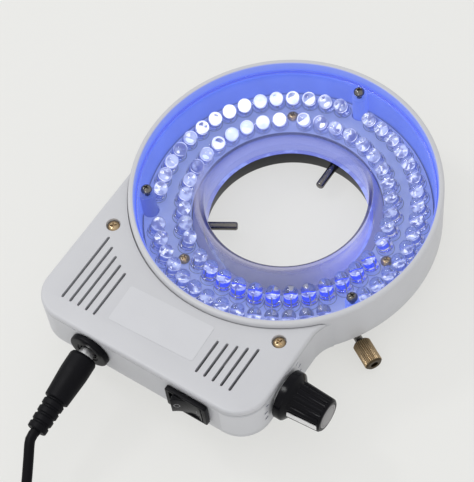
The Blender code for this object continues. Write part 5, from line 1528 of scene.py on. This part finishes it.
def knob():
    """Fluted knob with a skirt, hollow over the nut, and a seat for its grey insert."""
    controls = sizes().controls
    shoulder = KNOB_BASE + KNOB_SKIRT_HEIGHT
    nut = KNOB_BASE + KNOB_NUT_DEPTH
    top = KNOB_BASE + controls.knob_length
    seat = controls.knob_cap + 0.15 * MM
    corners = [
        (0, KNOB_SHAFT_REACH),
        (KNOB_SHAFT_HOLE, KNOB_SHAFT_REACH),
        (KNOB_SHAFT_HOLE, nut),
        (KNOB_NUT_HOLE, nut),
        (KNOB_NUT_HOLE, KNOB_BASE, 0.2 * MM),
        (controls.knob_skirt, KNOB_BASE, 0.3 * MM),
        (controls.knob_skirt, shoulder - 0.55 * MM, 0.7 * MM),
        (controls.knob_body + 0.55 * MM, shoulder + 0.55 * MM, 0.5 * MM),
        (controls.knob_body, shoulder + 1.1 * MM),
        (controls.knob_body - 0.05 * MM, shoulder + 1.6 * MM),
        (controls.knob_top + 0.05 * MM, top - 1.2 * MM),
        (controls.knob_top, top - 0.6 * MM, 0.3 * MM),
        (controls.knob_top - 0.6 * MM, top, 0.3 * MM),
        (seat, top),
        (seat, top - 1.0 * MM),
        (0, top - 1.0 * MM),
    ]

    def flute(radius, height, angle):
        """Flutes between the shoulder and the end, with the pointer's line on a land."""
        if radius < seat + 0.2 * MM or not shoulder + 1.3 * MM < height < top - 0.9 * MM:
            return radius
        wave = (1 - math.cos(controls.knob_flutes * (angle - math.radians(POINTER_ANGLE)))) / 2
        return radius - 0.55 * MM * wave**1.6

    return turned(softened(corners), controls.knob_flutes * 12, shape=flute)


def knob_line():
    """White line from the skirt to the knob's end."""
    controls = sizes().controls
    half = POINTER_WIDTH / 2
    low = KNOB_BASE + 4.4 * MM
    high = KNOB_BASE + controls.knob_length - 0.7 * MM
    levels = []
    for radius, height in ((controls.knob_body, low), (controls.knob_top, high)):
        inner = radius - GAP
        outer = radius + 0.06 * MM
        corners = ((inner, -half), (outer, -half), (outer, half), (inner, half))
        levels.append([(x, y, height) for x, y in corners])
    return swung(lofted(levels), POINTER_ANGLE)


def knob_insert():
    """Grey disc with a shallow turned groove."""
    controls = sizes().controls
    top = KNOB_BASE + controls.knob_length
    corners = [
        (0, top - 0.9 * MM),
        (controls.knob_cap, top - 0.9 * MM),
        (controls.knob_cap, top + 0.1 * MM, 0.2 * MM),
        (controls.knob_cap * 0.82, top + 0.1 * MM),
        (controls.knob_cap * 0.79, top - 0.05 * MM),
        (controls.knob_cap * 0.75, top + 0.12 * MM),
        (0, top + 0.2 * MM),
    ]
    return turned(softened(corners))


def inlet_body():
    """Panel socket: a flat flange outside the wall and a round body inside."""
    controls = sizes().controls
    face = GAP + controls.flange_thickness
    socket = face - INLET_SOCKET_DEPTH
    corners = [
        (0, -INLET_BODY_DEPTH),
        (INLET_BODY, -INLET_BODY_DEPTH, 0.3 * MM),
        (INLET_BODY, GAP),
        (controls.flange, GAP, 0.15 * MM),
        (controls.flange, face, 0.6 * MM),
        (4.3 * MM, face, 0.1 * MM),
        (4.1 * MM, face - 0.35 * MM),
        (INLET_SOCKET, face - 0.35 * MM, 0.1 * MM),
        (INLET_SOCKET, socket),
        (0, socket),
    ]
    return turned(softened(corners))


# Plug, cable and adapter

# The plug stands off the flange, and droops and turns as it hangs on its lead
PLUG_STAND_OFF = 2 * MM
PLUG_DROOP = math.radians(6)
PLUG_YAW = math.radians(2)
PLUG_SOCKET_DEPTH = 2.2 * MM
BARREL_BORE = 1.3 * MM
BARREL_TIP = 9.8 * MM
BARREL_ROOT = 1.6 * MM

# Points that the lead passes between the plug and the coil
CABLE_ROUTE = (
    (-21.4 * MM, -122.6 * MM, 2.9 * MM),
    (-19.6 * MM, -126.4 * MM, 0.3 * MM),
    (-17.9 * MM, -130.5 * MM, -3.0 * MM),
    (-16.5 * MM, -135.0 * MM, -6.2 * MM),
    (-15.8 * MM, -140.5 * MM, -7.9 * MM),
)
COIL_CENTRE = (13.2 * MM, -154.6 * MM)
COIL_TURNS = 8.25
COIL_LOWER_Z = -8.25 * MM
COIL_STEPS = 36
TAIL_LENGTH = 19.0 * MM
TIE_ANGLE = 20.0
TIE_BAND = 0.65 * MM
TIE_WIDTH = 3.2 * MM
TIE_ENDS = 3 * MM
TIE_ENDS_RADIUS = 0.55 * MM
RELIEF_LENGTH = 9.0 * MM
RELIEF_THIN = 2.9 * MM
RELIEF_THICK = 4.0 * MM
SEAM = 0.35 * MM
BLADE_SEAT = (6.9 * MM, 2.1 * MM)
BLADE_SEAT_DEPTH = 4 * MM
BLADE_HOLE = 1.5 * MM
BLADE_HOLE_FROM_TIP = 4 * MM


def plug_heading():
    """Direction from the plug's face to its cable end."""
    level = math.cos(PLUG_DROOP)
    return Vector((math.sin(PLUG_YAW) * level, -math.cos(PLUG_YAW) * level, -math.sin(PLUG_DROOP)))


def plug_face():
    """Middle of the plug's face."""
    box, controls = sizes().box, sizes().controls
    flange = -box.front - GAP - controls.flange_thickness
    return Vector((-controls.inlet_x, flange - PLUG_STAND_OFF, controls.inlet_z))


def grooved(start, end, low, high, ribs, depth):
    """Corners of a tapering grip whose ribs stand between round grooves."""
    corners = []
    pitch = (high - low) / ribs
    for rib in range(ribs):
        for share, cut_in in ((0.0, depth), (0.2, depth), (0.3, 0), (0.9, 0)):
            height = low + pitch * (rib + share)
            radius = start + (end - start) * (height - low) / (high - low) - cut_in
            corners.append((radius, height, 0.25 * MM))
    return corners


def plug_moulding():
    """Plug with a smooth full grip and a ribbed strain relief."""
    cable = sizes().cable
    seat = cable.barrel + 0.6 * MM
    corners = [
        (0, PLUG_SOCKET_DEPTH),
        (seat, PLUG_SOCKET_DEPTH),
        (seat, 0, 0.1 * MM),
        (cable.plug_face - 0.5 * MM, 0, 0.4 * MM),
        (cable.plug_face, 1 * MM, 0.8 * MM),
        (cable.plug_face + 0.05 * MM, 6.5 * MM, 3 * MM),
        (cable.plug_waist + 0.5 * MM, cable.plug_grip - 0.3 * MM, 0.4 * MM),
    ]
    corners += grooved(cable.plug_waist, cable.plug_end, cable.plug_grip, cable.plug_length, 4, 0.45 * MM)
    corners += [(cable.plug_end - 0.3 * MM, cable.plug_length, 0.2 * MM), (0, cable.plug_length)]
    return turned(softened(corners))


def plug_barrel():
    """Hollow metal barrel."""
    barrel = sizes().cable.barrel
    corners = [
        (BARREL_BORE, -BARREL_TIP),
        (barrel, -BARREL_TIP, 0.3 * MM),
        (barrel, BARREL_ROOT),
        (BARREL_BORE, BARREL_ROOT),
    ]
    return turned(softened(corners), closed=True)


def smooth_route(route, spacing):
    """Points at about equal steps along a smooth curve through the route's points."""
    route = [Vector(point) for point in route]
    padded = [route[0] * 2 - route[1]] + route + [route[-1] * 2 - route[-2]]
    points = [route[0]]
    for before, start, end, after in zip(padded, padded[1:], padded[2:], padded[3:]):
        steps = max(1, round((end - start).length / spacing))
        slope_in = (end - before) / 2
        slope_out = (after - start) / 2
        for step in range(1, steps + 1):
            t = step / steps
            points.append(
                start * (2 * t**3 - 3 * t**2 + 1)
                + slope_in * (t**3 - 2 * t**2 + t)
                + end * (3 * t**2 - 2 * t**3)
                + slope_out * (t**3 - t**2)
            )
    return points


def coil_points():
    """Two layers of loops: in along the lower one, up half way, and out along the upper."""
    cable = sizes().cable
    points = []
    total = round(COIL_TURNS * COIL_STEPS)
    middle = COIL_TURNS / 2
    for index in range(total + 1):
        turns = COIL_TURNS * index / total
        radius = cable.coil_radius + cable.coil_pitch * abs(turns - middle)
        climb = min(1, max(0, (turns - middle) * 2 + 0.5))
        rise = climb * climb * (3 - 2 * climb)
        height = COIL_LOWER_Z + cable.coil_layer * rise
        x, y, _ = polar(radius, 180 + 360 * turns)
        points.append(Vector((COIL_CENTRE[0] + x, COIL_CENTRE[1] + y, height)))
    return points


def cable_points():
    """Centreline of the whole cable, from the plug's end to the adapter's relief."""
    cable = sizes().cable
    across = cable.cable * 2
    heading = plug_heading()
    start = plug_face() + heading * cable.plug_length
    loops = coil_points()
    arrival = loops[0] + Vector((0, across, 0))
    route = [start, start + heading * across]
    route += [Vector(point) for point in CABLE_ROUTE]
    route += [arrival + Vector((0, across, 0)), arrival]
    leaving = loops[-1] + Vector((across, 0, 0))
    tail = smooth_route([leaving, leaving + Vector((TAIL_LENGTH + GAP * 2, 0, 0))], across)
    return smooth_route(route, cable.cable) + loops + tail


def cord_piece(name, points, radius, look, resolution=4):
    """Round cord along points, as a curve of one open spline."""
    curve = bpy.data.curves.new(name, "CURVE")
    curve.dimensions = "3D"
    curve.bevel_depth = radius
    curve.bevel_resolution = resolution
    curve.use_fill_caps = True
    spline = curve.splines.new("POLY")
    spline.points.add(len(points) - 1)
    for target, point in zip(spline.points, points):
        target.co = (*point, 1)
    spline.use_smooth = True
    curve.materials.append(look)
    shape = bpy.data.objects.new(name, curve)
    bpy.context.scene.collection.objects.link(shape)
    shape.location = AXIS
    return shape


def tie_band():
    """Flat band round all the coil's loops, with its two ends twisted together on top."""
    cable = sizes().cable
    outer_radius = cable.coil_radius + cable.coil_pitch * COIL_TURNS / 2
    across = cable.cable * 2
    radial = outer_radius - cable.coil_radius + across + 0.6 * MM
    tall = cable.coil_layer + across + 0.6 * MM
    outer = rounded_rectangle(radial + TIE_BAND * 2, tall + TIE_BAND * 2, cable.cable + TIE_BAND, 8)
    inner = rounded_rectangle(radial, tall, cable.cable, 8)
    strap = cut(extruded(outer, -TIE_WIDTH / 2, TIE_WIDTH / 2), extruded(inner, -OVERRUN, OVERRUN))

    def twist(radius, height, angle):
        """Two strands laid round each other."""
        return radius * (1 + 0.3 * math.cos(2 * angle - height / (0.28 * MM)))

    steps = 24
    profile = [(TIE_ENDS_RADIUS, TIE_ENDS * index / steps) for index in range(steps + 1)]
    ends = turned([(0, 0), *profile, (0, TIE_ENDS)], SMALL_STEPS, shape=twist)
    ends = placed(ends, facing((0, 1, 0), (0, (tall + TIE_BAND) / 2, 0)))
    return united(eased(strap, 0.12 * MM), ends)


def tie_place():
    """Place of the tie across the coil's loops."""
    cable = sizes().cable
    middle = cable.coil_radius + cable.coil_pitch * COIL_TURNS / 4
    x, y, _ = polar(middle, TIE_ANGLE)
    spot = Matrix.Translation((COIL_CENTRE[0] + x, COIL_CENTRE[1] + y, COIL_LOWER_Z + cable.coil_layer / 2))
    return spot @ turning(TIE_ANGLE) @ turning(90, "X")


def relief_moulding():
    """Ribbed relief where the cable enters the adapter."""
    end = RELIEF_LENGTH - 0.1 * MM
    corners = [(0, 0), (RELIEF_THIN - 0.4 * MM, 0, 0.2 * MM)]
    corners += grooved(RELIEF_THIN, RELIEF_THICK, 0.5 * MM, RELIEF_LENGTH, 4, 0.6 * MM)
    corners += [(RELIEF_THICK, end), (0, end)]
    return turned(softened(corners))


def adapter_shell():
    """Adapter's case with a seam round its middle, and seats for the blades."""
    cable = sizes().cable
    half = Vector((cable.adapter_length, cable.adapter_width, cable.adapter_height)) / 2
    body = eased(block(-half, half), cable.adapter_round, 6, 60)
    inside = (cable.adapter_length - SEAM * 2, cable.adapter_width - SEAM * 2)
    core = extruded(rounded_rectangle(*inside, cable.adapter_round), -OVERRUN, OVERRUN)
    reach = Vector((half.x + OVERRUN, half.y + OVERRUN, 0.2 * MM))
    seats = []
    for node in ("adapter_blade_1", "adapter_blade_2"):
        x, y, _ = middle_of(node) - middle_of("adapter_body")
        seat = extruded(rounded_rectangle(*BLADE_SEAT, GAP), half.z - BLADE_SEAT_DEPTH, half.z + OVERRUN)
        seats.append(moved(seat, x, y))
    return cut(body, cut(block(-reach, reach), core), gathered(seats))


def blade(node):
    """Flat blade with a round hole and a chamfered end."""
    low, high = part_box(node)
    width, thickness, tall = high - low
    half = width / 2
    corners = [(-half, 0), (half, 0), (half, tall, 1.4 * MM), (-half, tall, 1.4 * MM)]
    shape = extruded(softened(corners), -thickness / 2, thickness / 2)
    hole = moved(cylinder(BLADE_HOLE, -OVERRUN, OVERRUN), 0, tall - BLADE_HOLE_FROM_TIP)
    shape = cut(eased(shape, 0.2 * MM), hole)
    return placed(shape, Matrix.Translation((0, 0, -tall / 2)) @ turning(90, "X"))


# Labels

LABEL_PLACE = (-6.7 * MM, -64.8 * MM)
LABEL_TURN = 2.2
LABEL_THICKNESS = 0.08 * MM
LABEL_CORNER = 0.8 * MM
FILM_LIFT = 0.01 * MM
DIAL_START_X = 26.5 * MM
DIAL_END_Y = -51.5 * MM
DIAL_FACE = 0.1 * MM
DIAL_FOOT = 2.6 * MM
DIAL_BELOW_COVER = 0.9 * MM
DIAL_HOLE = 5 * MM
DIAL_RADIUS = 10.1 * MM
DIAL_STEP = 20
DIAL_MARK = (0.16 * MM, 0.8 * MM)
MARKS_FOOT = 3.4 * MM
MARKS_BELOW_COVER = 1.8 * MM


def cover_label():
    """Bare label on the cover."""
    box = sizes().box
    film = extruded(rounded_rectangle(box.label_width, box.label_depth, LABEL_CORNER), 0, LABEL_THICKNESS)
    return placed(film, Matrix.Translation((*LABEL_PLACE, box.cover_top + FILM_LIFT)) @ turning(LABEL_TURN))


def wall_path(lift):
    """Points along the dial's label, from the front wall round to the right wall."""
    box = sizes().box
    corner = (box.right - box.corner, box.corner - box.front)
    path = [(DIAL_START_X, -box.front - lift)]
    path += arc(corner, box.corner + lift, 270, 90, CORNER_STEPS)
    path.append((box.right + lift, DIAL_END_Y))
    return path


def dial_label():
    """Bare film round the front corner, under the knob."""
    box = sizes().box
    outline = wall_path(DIAL_FACE) + wall_path(FILM_LIFT)[::-1]
    film = extruded(outline, DIAL_FOOT, box.cover_top - box.cover_edge - DIAL_BELOW_COVER)
    return cut(film, placed(cylinder(DIAL_HOLE, -OVERRUN, OVERRUN), on_right_wall()))


def dial_marks():
    """Plain scale of short lines round the knob, as far as the wall reaches."""
    controls, box = sizes().controls, sizes().box
    wide, tall = DIAL_MARK
    ceiling = box.cover_top - box.cover_edge - MARKS_BELOW_COVER
    places = []
    for step in range(-7, 8):
        spot = polar(DIAL_RADIUS, 90 + step * DIAL_STEP)
        if MARKS_FOOT < controls.dimmer_z + spot.y < ceiling:
            places.append(on_right_wall() @ Matrix.Translation(spot) @ turning(step * DIAL_STEP))
    return repeated(block((-wide, -tall, 0.08 * MM), (wide, tall, 0.13 * MM)), places)


# Operators

class RINGLIGHT_OT_housing(bpy.types.Operator):
    """Make the housing, its cover and its clear window"""

    bl_idname = "ring_light.housing"
    bl_label = "Housing"

    def execute(self, context):
        piece("housing_moulding", housing_moulding(), moulded_white(), ["ring_housing"])
        piece("cover_plate", cover_plate(), moulded_white(), ["box_cover"])
        piece("window_moulding", window_moulding(), clear_acrylic(), ["clear_window"])
        return {"FINISHED"}


class RINGLIGHT_OT_lamps(bpy.types.Operator):
    """Make the LED board with its lenses, leads, cups and print"""

    bl_idname = "ring_light.lamps"
    bl_label = "LED Board"

    def execute(self, context):
        places = lamp_places()
        piece("board_plate", board_plate(), lit_board(), ["led_board"])
        piece("led_lenses", repeated(lens(), places), clear_epoxy(), sharp=50)
        piece("led_leads", repeated(lead_frame(), places), bright_steel())
        lights = piece("led_lights", repeated(cup_light(), places), lamp_glow())
        linings = piece("led_linings", repeated(cup_lining(), places), lit_lining())
        for glow in (lights, linings):
            glow.visible_diffuse = False
        piece("led_cups", repeated(lamp_cup(), places), cup_in_painted_blue_light())
        piece("board_print", board_print(), dark_print())
        return {"FINISHED"}


class RINGLIGHT_OT_screws(bpy.types.Operator):
    """Make the window's, the board's and the cover's screws"""

    bl_idname = "ring_light.screws"
    bl_label = "Screws"

    def execute(self, context):
        ring, box = sizes().ring, sizes().box

        def screw(name, node, shape, look, slot, point, turned_by):
            """One screw at a point, its recess turned by an angle in degrees."""
            place = Matrix.Translation(point) @ turning(turned_by)
            piece(name, cross_screw(**shape), look(), [node], place=place)

        for number, angle in enumerate(POST_ANGLES, 1):
            point = polar(post_axis(), angle, window_top() + GAP)
            names = (f"post_screw_{number}", f"window_screw_{number}")
            screw(*names, POST_SCREW, dark_steel, "dark_steel", point, angle * 1.3)
        for number, angle in enumerate(BOARD_SCREW_ANGLES, 1):
            point = polar(ring.board_screw, angle, board_top() + GAP)
            names = (f"seat_screw_{number}", f"board_screw_{number}")
            screw(*names, SEAT_SCREW, screw_brass, "brass", point, angle * 0.7 + 20)
        for side, turned_by, place in zip(("left", "right"), (38, 64), cover_screw_places()):
            point = (*place, box.cover_top - LID_SCREW_DEPTH)
            names = (f"lid_screw_{side}", f"cover_screw_{side}")
            screw(*names, LID_SCREW, screw_brass, "brass", point, turned_by)
        return {"FINISHED"}


class RINGLIGHT_OT_collar(bpy.types.Operator):
    """Make the collar and its three thumbscrews"""

    bl_idname = "ring_light.collar"
    bl_label = "Collar and Thumbscrews"

    def execute(self, context):
        ring, fittings = sizes().ring, sizes().fittings
        piece("collar_ring", collar_ring(), black_anodised(), ["mounting_collar"])
        for number, (angle, reach) in enumerate(zip(POST_ANGLES, CLAMP_REACHES), 1):
            place = facing(polar(1, angle), polar(ring.bore - reach, angle, -fittings.clamp_drop))
            body = f"clamp_{number}"
            names = (f"thumbscrew_rod_{number}", f"thumbscrew_head_{number}")
            piece(names[0], clamp_rod(), dark_steel(), [f"clamp_rod_{number}"], body, place)
            piece(names[1], clamp_head(), knurled_brass(), [f"clamp_head_{number}"], body, place)
        return {"FINISHED"}


class RINGLIGHT_OT_switch(bpy.types.Operator):
    """Make the rocker switch"""

    bl_idname = "ring_light.switch"
    bl_label = "Rocker Switch"

    def execute(self, context):
        controls, box = sizes().controls, sizes().box
        wall = on_front_wall(controls.switch_x, controls.switch_z)
        piece("switch_bezel", switch_bezel(), black_satin(), ["switch_frame"], place=wall)
        pivot = Matrix.Translation((controls.switch_x, ROCKER_PIVOT_DEPTH - box.front, controls.switch_z))
        pivot = pivot @ turning(ROCKER_TILT)
        piece("rocker_key", rocker(), black_gloss(), ["switch_rocker"], "rocker", pivot)
        piece("rocker_marks", rocker_marks(), faint_print(), (), "rocker", pivot)
        return {"FINISHED"}


class RINGLIGHT_OT_dimmer(bpy.types.Operator):
    """Make the dimmer's knob with its line and its grey insert"""

    bl_idname = "ring_light.dimmer"
    bl_label = "Dimmer"

    def execute(self, context):
        wall = on_right_wall()
        piece("knob_moulding", knob(), black_gloss(), ["dimmer_knob"], "dimmer", wall)
        piece("knob_line", knob_line(), white_print(), (), "dimmer", wall)
        piece("knob_insert", knob_insert(), brushed_cap(), ["knob_cap"], "dimmer", wall)
        return {"FINISHED"}


class RINGLIGHT_OT_cable(bpy.types.Operator):
    """Make the inlet, the plug, the cable with its coil, and the adapter"""

    bl_idname = "ring_light.cable"
    bl_label = "Inlet, Cable and Adapter"

    def execute(self, context):
        controls, cable = sizes().controls, sizes().cable
        wall = on_front_wall(-controls.inlet_x, controls.inlet_z)
        piece("inlet_flange", inlet_body(), black_satin(), ["socket_body"], place=wall)
        points = cable_points()
        plug = facing(plug_heading(), plug_face())
        barrel = facing((0, -1, 0), plug_face())
        relief = facing((1, 0, 0), points[-1])
        middle = Matrix.Translation(middle_of("adapter_body"))
        for name, mesh, look, slot, node, place in (
            ("plug_moulding", plug_moulding(), black_rubber, "black_rubber", "plug_body", plug),
            ("barrel", plug_barrel(), bright_steel, "bright_steel", "plug_barrel", barrel),
            ("coil_tie", tie_band(), black_satin, "black_plastic", "cable_tie", tie_place()),
            ("relief", relief_moulding(), black_rubber, "black_rubber", "adapter_relief", relief),
            ("adapter_shell", adapter_shell(), black_satin, "black_plastic", "adapter_body", middle),
        ):
            piece(name, mesh, look(), [node], place=place)
        for number in (1, 2):
            node = f"adapter_blade_{number}"
            name = f"mains_blade_{number}"
            spot = Matrix.Translation(middle_of(node))
            piece(name, blade(node), bright_steel(), [node], place=spot)
        lead = cord_piece("cable", points, cable.cable, black_rubber())
        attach(lead, "housing")
        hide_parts("cable_lead", "cable_coil", "cable_tail")
        reach = sum((end - start).length for start, end in zip(points, points[1:]))
        AXIS + points[0]
        return {"FINISHED"}


class RINGLIGHT_OT_labels(bpy.types.Operator):
    """Make the bare labels and the dial's plain scale"""

    bl_idname = "ring_light.labels"
    bl_label = "Labels"

    def execute(self, context):
        piece("cover_label", cover_label(), label_film())
        piece("dial_label", dial_label(), label_film())
        piece("dial_marks", dial_marks(), dark_print())
        return {"FINISHED"}


class RINGLIGHT_OT_insides(bpy.types.Operator):
    """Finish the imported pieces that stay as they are"""

    bl_idname = "ring_light.insides"
    bl_label = "Inside the Box"

    def execute(self, context):
        steel = ("switch_terminal_1", "switch_terminal_2", "pot_body", "pot_nut", "pot_shaft", "socket_nut")
        steel += ("socket_pin", "driver_screw_1", "driver_screw_2")
        for look, nodes in (
            (bright_steel, steel),
            (driver_green, ("driver_board",)),
            (red_wire, ("wire_inlet_switch", "wire_inlet_driver", "wire_switch_driver")),
            (grey_wire, ("wire_dimmer", "wire_leds")),
        ):
            for node in nodes:
                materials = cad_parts[node].data.materials
                materials.clear()
                materials.append(look())
        return {"FINISHED"}


class RINGLIGHT_OT_stage(bpy.types.Operator):
    """Make the floor, the lamps, the background and the camera"""

    bl_idname = "ring_light.stage"
    bl_label = "Stage"

    def execute(self, context):
        colours = sizes().colours
        mesh = bmesh.new()
        bmesh.ops.create_grid(mesh, x_segments=8, y_segments=8, size=2.5)
        floor = as_object(mesh, "floor")
        look = Finish("pale_floor", colours.backdrop, 0.55, specular_ior_level=0.2)
        tone = look.blend(look.noise(120 * MM), scaled(colours.backdrop, 0.985), colours.backdrop)
        look.feed("Base Color", tone)
        share = look.backdrop_rays().least(1.0) * 0.75
        lit = Value(look.tree, look.shader.outputs[0])
        pale = look.node("ShaderNodeEmission", sockets={"Color": (*colours.backdrop, 1.0)})
        join = look.node("ShaderNodeMixShader", sockets={0: share, 1: lit, 2: pale})
        look.tree.links.new(join.socket, look.tree.nodes["Material Output"].inputs["Surface"])
        floor.data.materials.append(look.material)
        floor.location.z = -0.2 * MM

        world = bpy.data.worlds.new("studio")
        context.scene.world = world
        world.use_nodes = True
        sky = world.node_tree.nodes["Background"]
        sky.inputs["Color"].default_value = (0.93, 0.93, 0.93, 1.0)
        strength = 1.0 - Nodes(world.node_tree).backdrop_rays() * 0.1
        world.node_tree.links.new(strength.socket, sky.inputs["Strength"])

        for name, place, size, power in (
            ("softbox", (-0.95, 0.0, 0.95), 0.2, 3.0),
            ("front_fill", (0.35, -1.1, 0.5), 0.3, 0.8),
            ("sparkle", (-0.4, -0.25, 1.15), 0.3, 6.0),
        ):
            lamp = bpy.data.lights.new(name, "AREA")
            lamp.size = size
            lamp.energy = power
            holder = bpy.data.objects.new(name, lamp)
            context.scene.collection.objects.link(holder)
            holder.location = place
            holder.visible_diffuse = name != "sparkle"
            holder.rotation_euler = (-Vector(place)).to_track_quat("-Z", "Y").to_euler()

        data = bpy.data.cameras.new("camera")
        data.sensor_width = SENSOR_SIZE
        data.lens = CAMERA_FOCAL_PIXELS / PICTURE_HEIGHT_PIXELS * SENSOR_SIZE
        data.clip_start = 0.01
        data.clip_end = 20.0
        camera = bpy.data.objects.new("camera", data)
        context.scene.collection.objects.link(camera)
        level = math.cos(CAMERA_ELEVATION)
        right = Vector((math.cos(CAMERA_AZIMUTH), math.sin(CAMERA_AZIMUTH), 0))
        ahead = Vector((-right.y * level, right.x * level, -math.sin(CAMERA_ELEVATION)))
        up = right.cross(ahead)
        across = right * math.cos(CAMERA_ROLL) + up * math.sin(CAMERA_ROLL)
        upward = up * math.cos(CAMERA_ROLL) - right * math.sin(CAMERA_ROLL)
        turn = Matrix((across, upward, -ahead)).transposed().to_4x4()
        camera.matrix_world = Matrix.Translation(AXIS + Vector(CAMERA_PLACE)) @ turn
        context.scene.camera = camera
        context.scene.view_settings.view_transform = "Standard"
        return {"FINISHED"}


OPERATORS = (
    RINGLIGHT_OT_stage,
    RINGLIGHT_OT_cable,
    RINGLIGHT_OT_housing,
    RINGLIGHT_OT_lamps,
    RINGLIGHT_OT_screws,
    RINGLIGHT_OT_collar,
    RINGLIGHT_OT_switch,
    RINGLIGHT_OT_dimmer,
    RINGLIGHT_OT_labels,
    RINGLIGHT_OT_insides,
)


class RINGLIGHT_PT_pieces(bpy.types.Panel):
    """Sidebar panel that lists the ring light's pieces"""

    bl_idname = "RINGLIGHT_PT_pieces"
    bl_label = "Ring Light"
    bl_space_type = "VIEW_3D"
    bl_region_type = "UI"
    bl_category = "Ring Light"

    def draw(self, context):
        """List the operators."""
        for operator in OPERATORS:
            self.layout.operator(operator.bl_idname)


GROUPS = (RingSizes, BoxSizes, LampSizes, FittingSizes, ControlSizes, CableSizes, Colours, RingLight)


def register():
    """Add the classes and the scene's values to Blender."""
    for group in (*GROUPS, *OPERATORS, RINGLIGHT_PT_pieces):
        bpy.utils.register_class(group)
    bpy.types.Scene.ring_light = PointerProperty(type=RingLight)


def unregister():
    """Take the classes and the scene's values out again."""
    del bpy.types.Scene.ring_light
    for group in (RINGLIGHT_PT_pieces, *reversed(OPERATORS), *reversed(GROUPS)):
        bpy.utils.unregister_class(group)


def main():
    """Make every piece."""
    register()
    for operator in OPERATORS:
        family, name = operator.bl_idname.split(".")
        getattr(getattr(bpy.ops, family), name)()


if __name__ == "__main__":
    main()
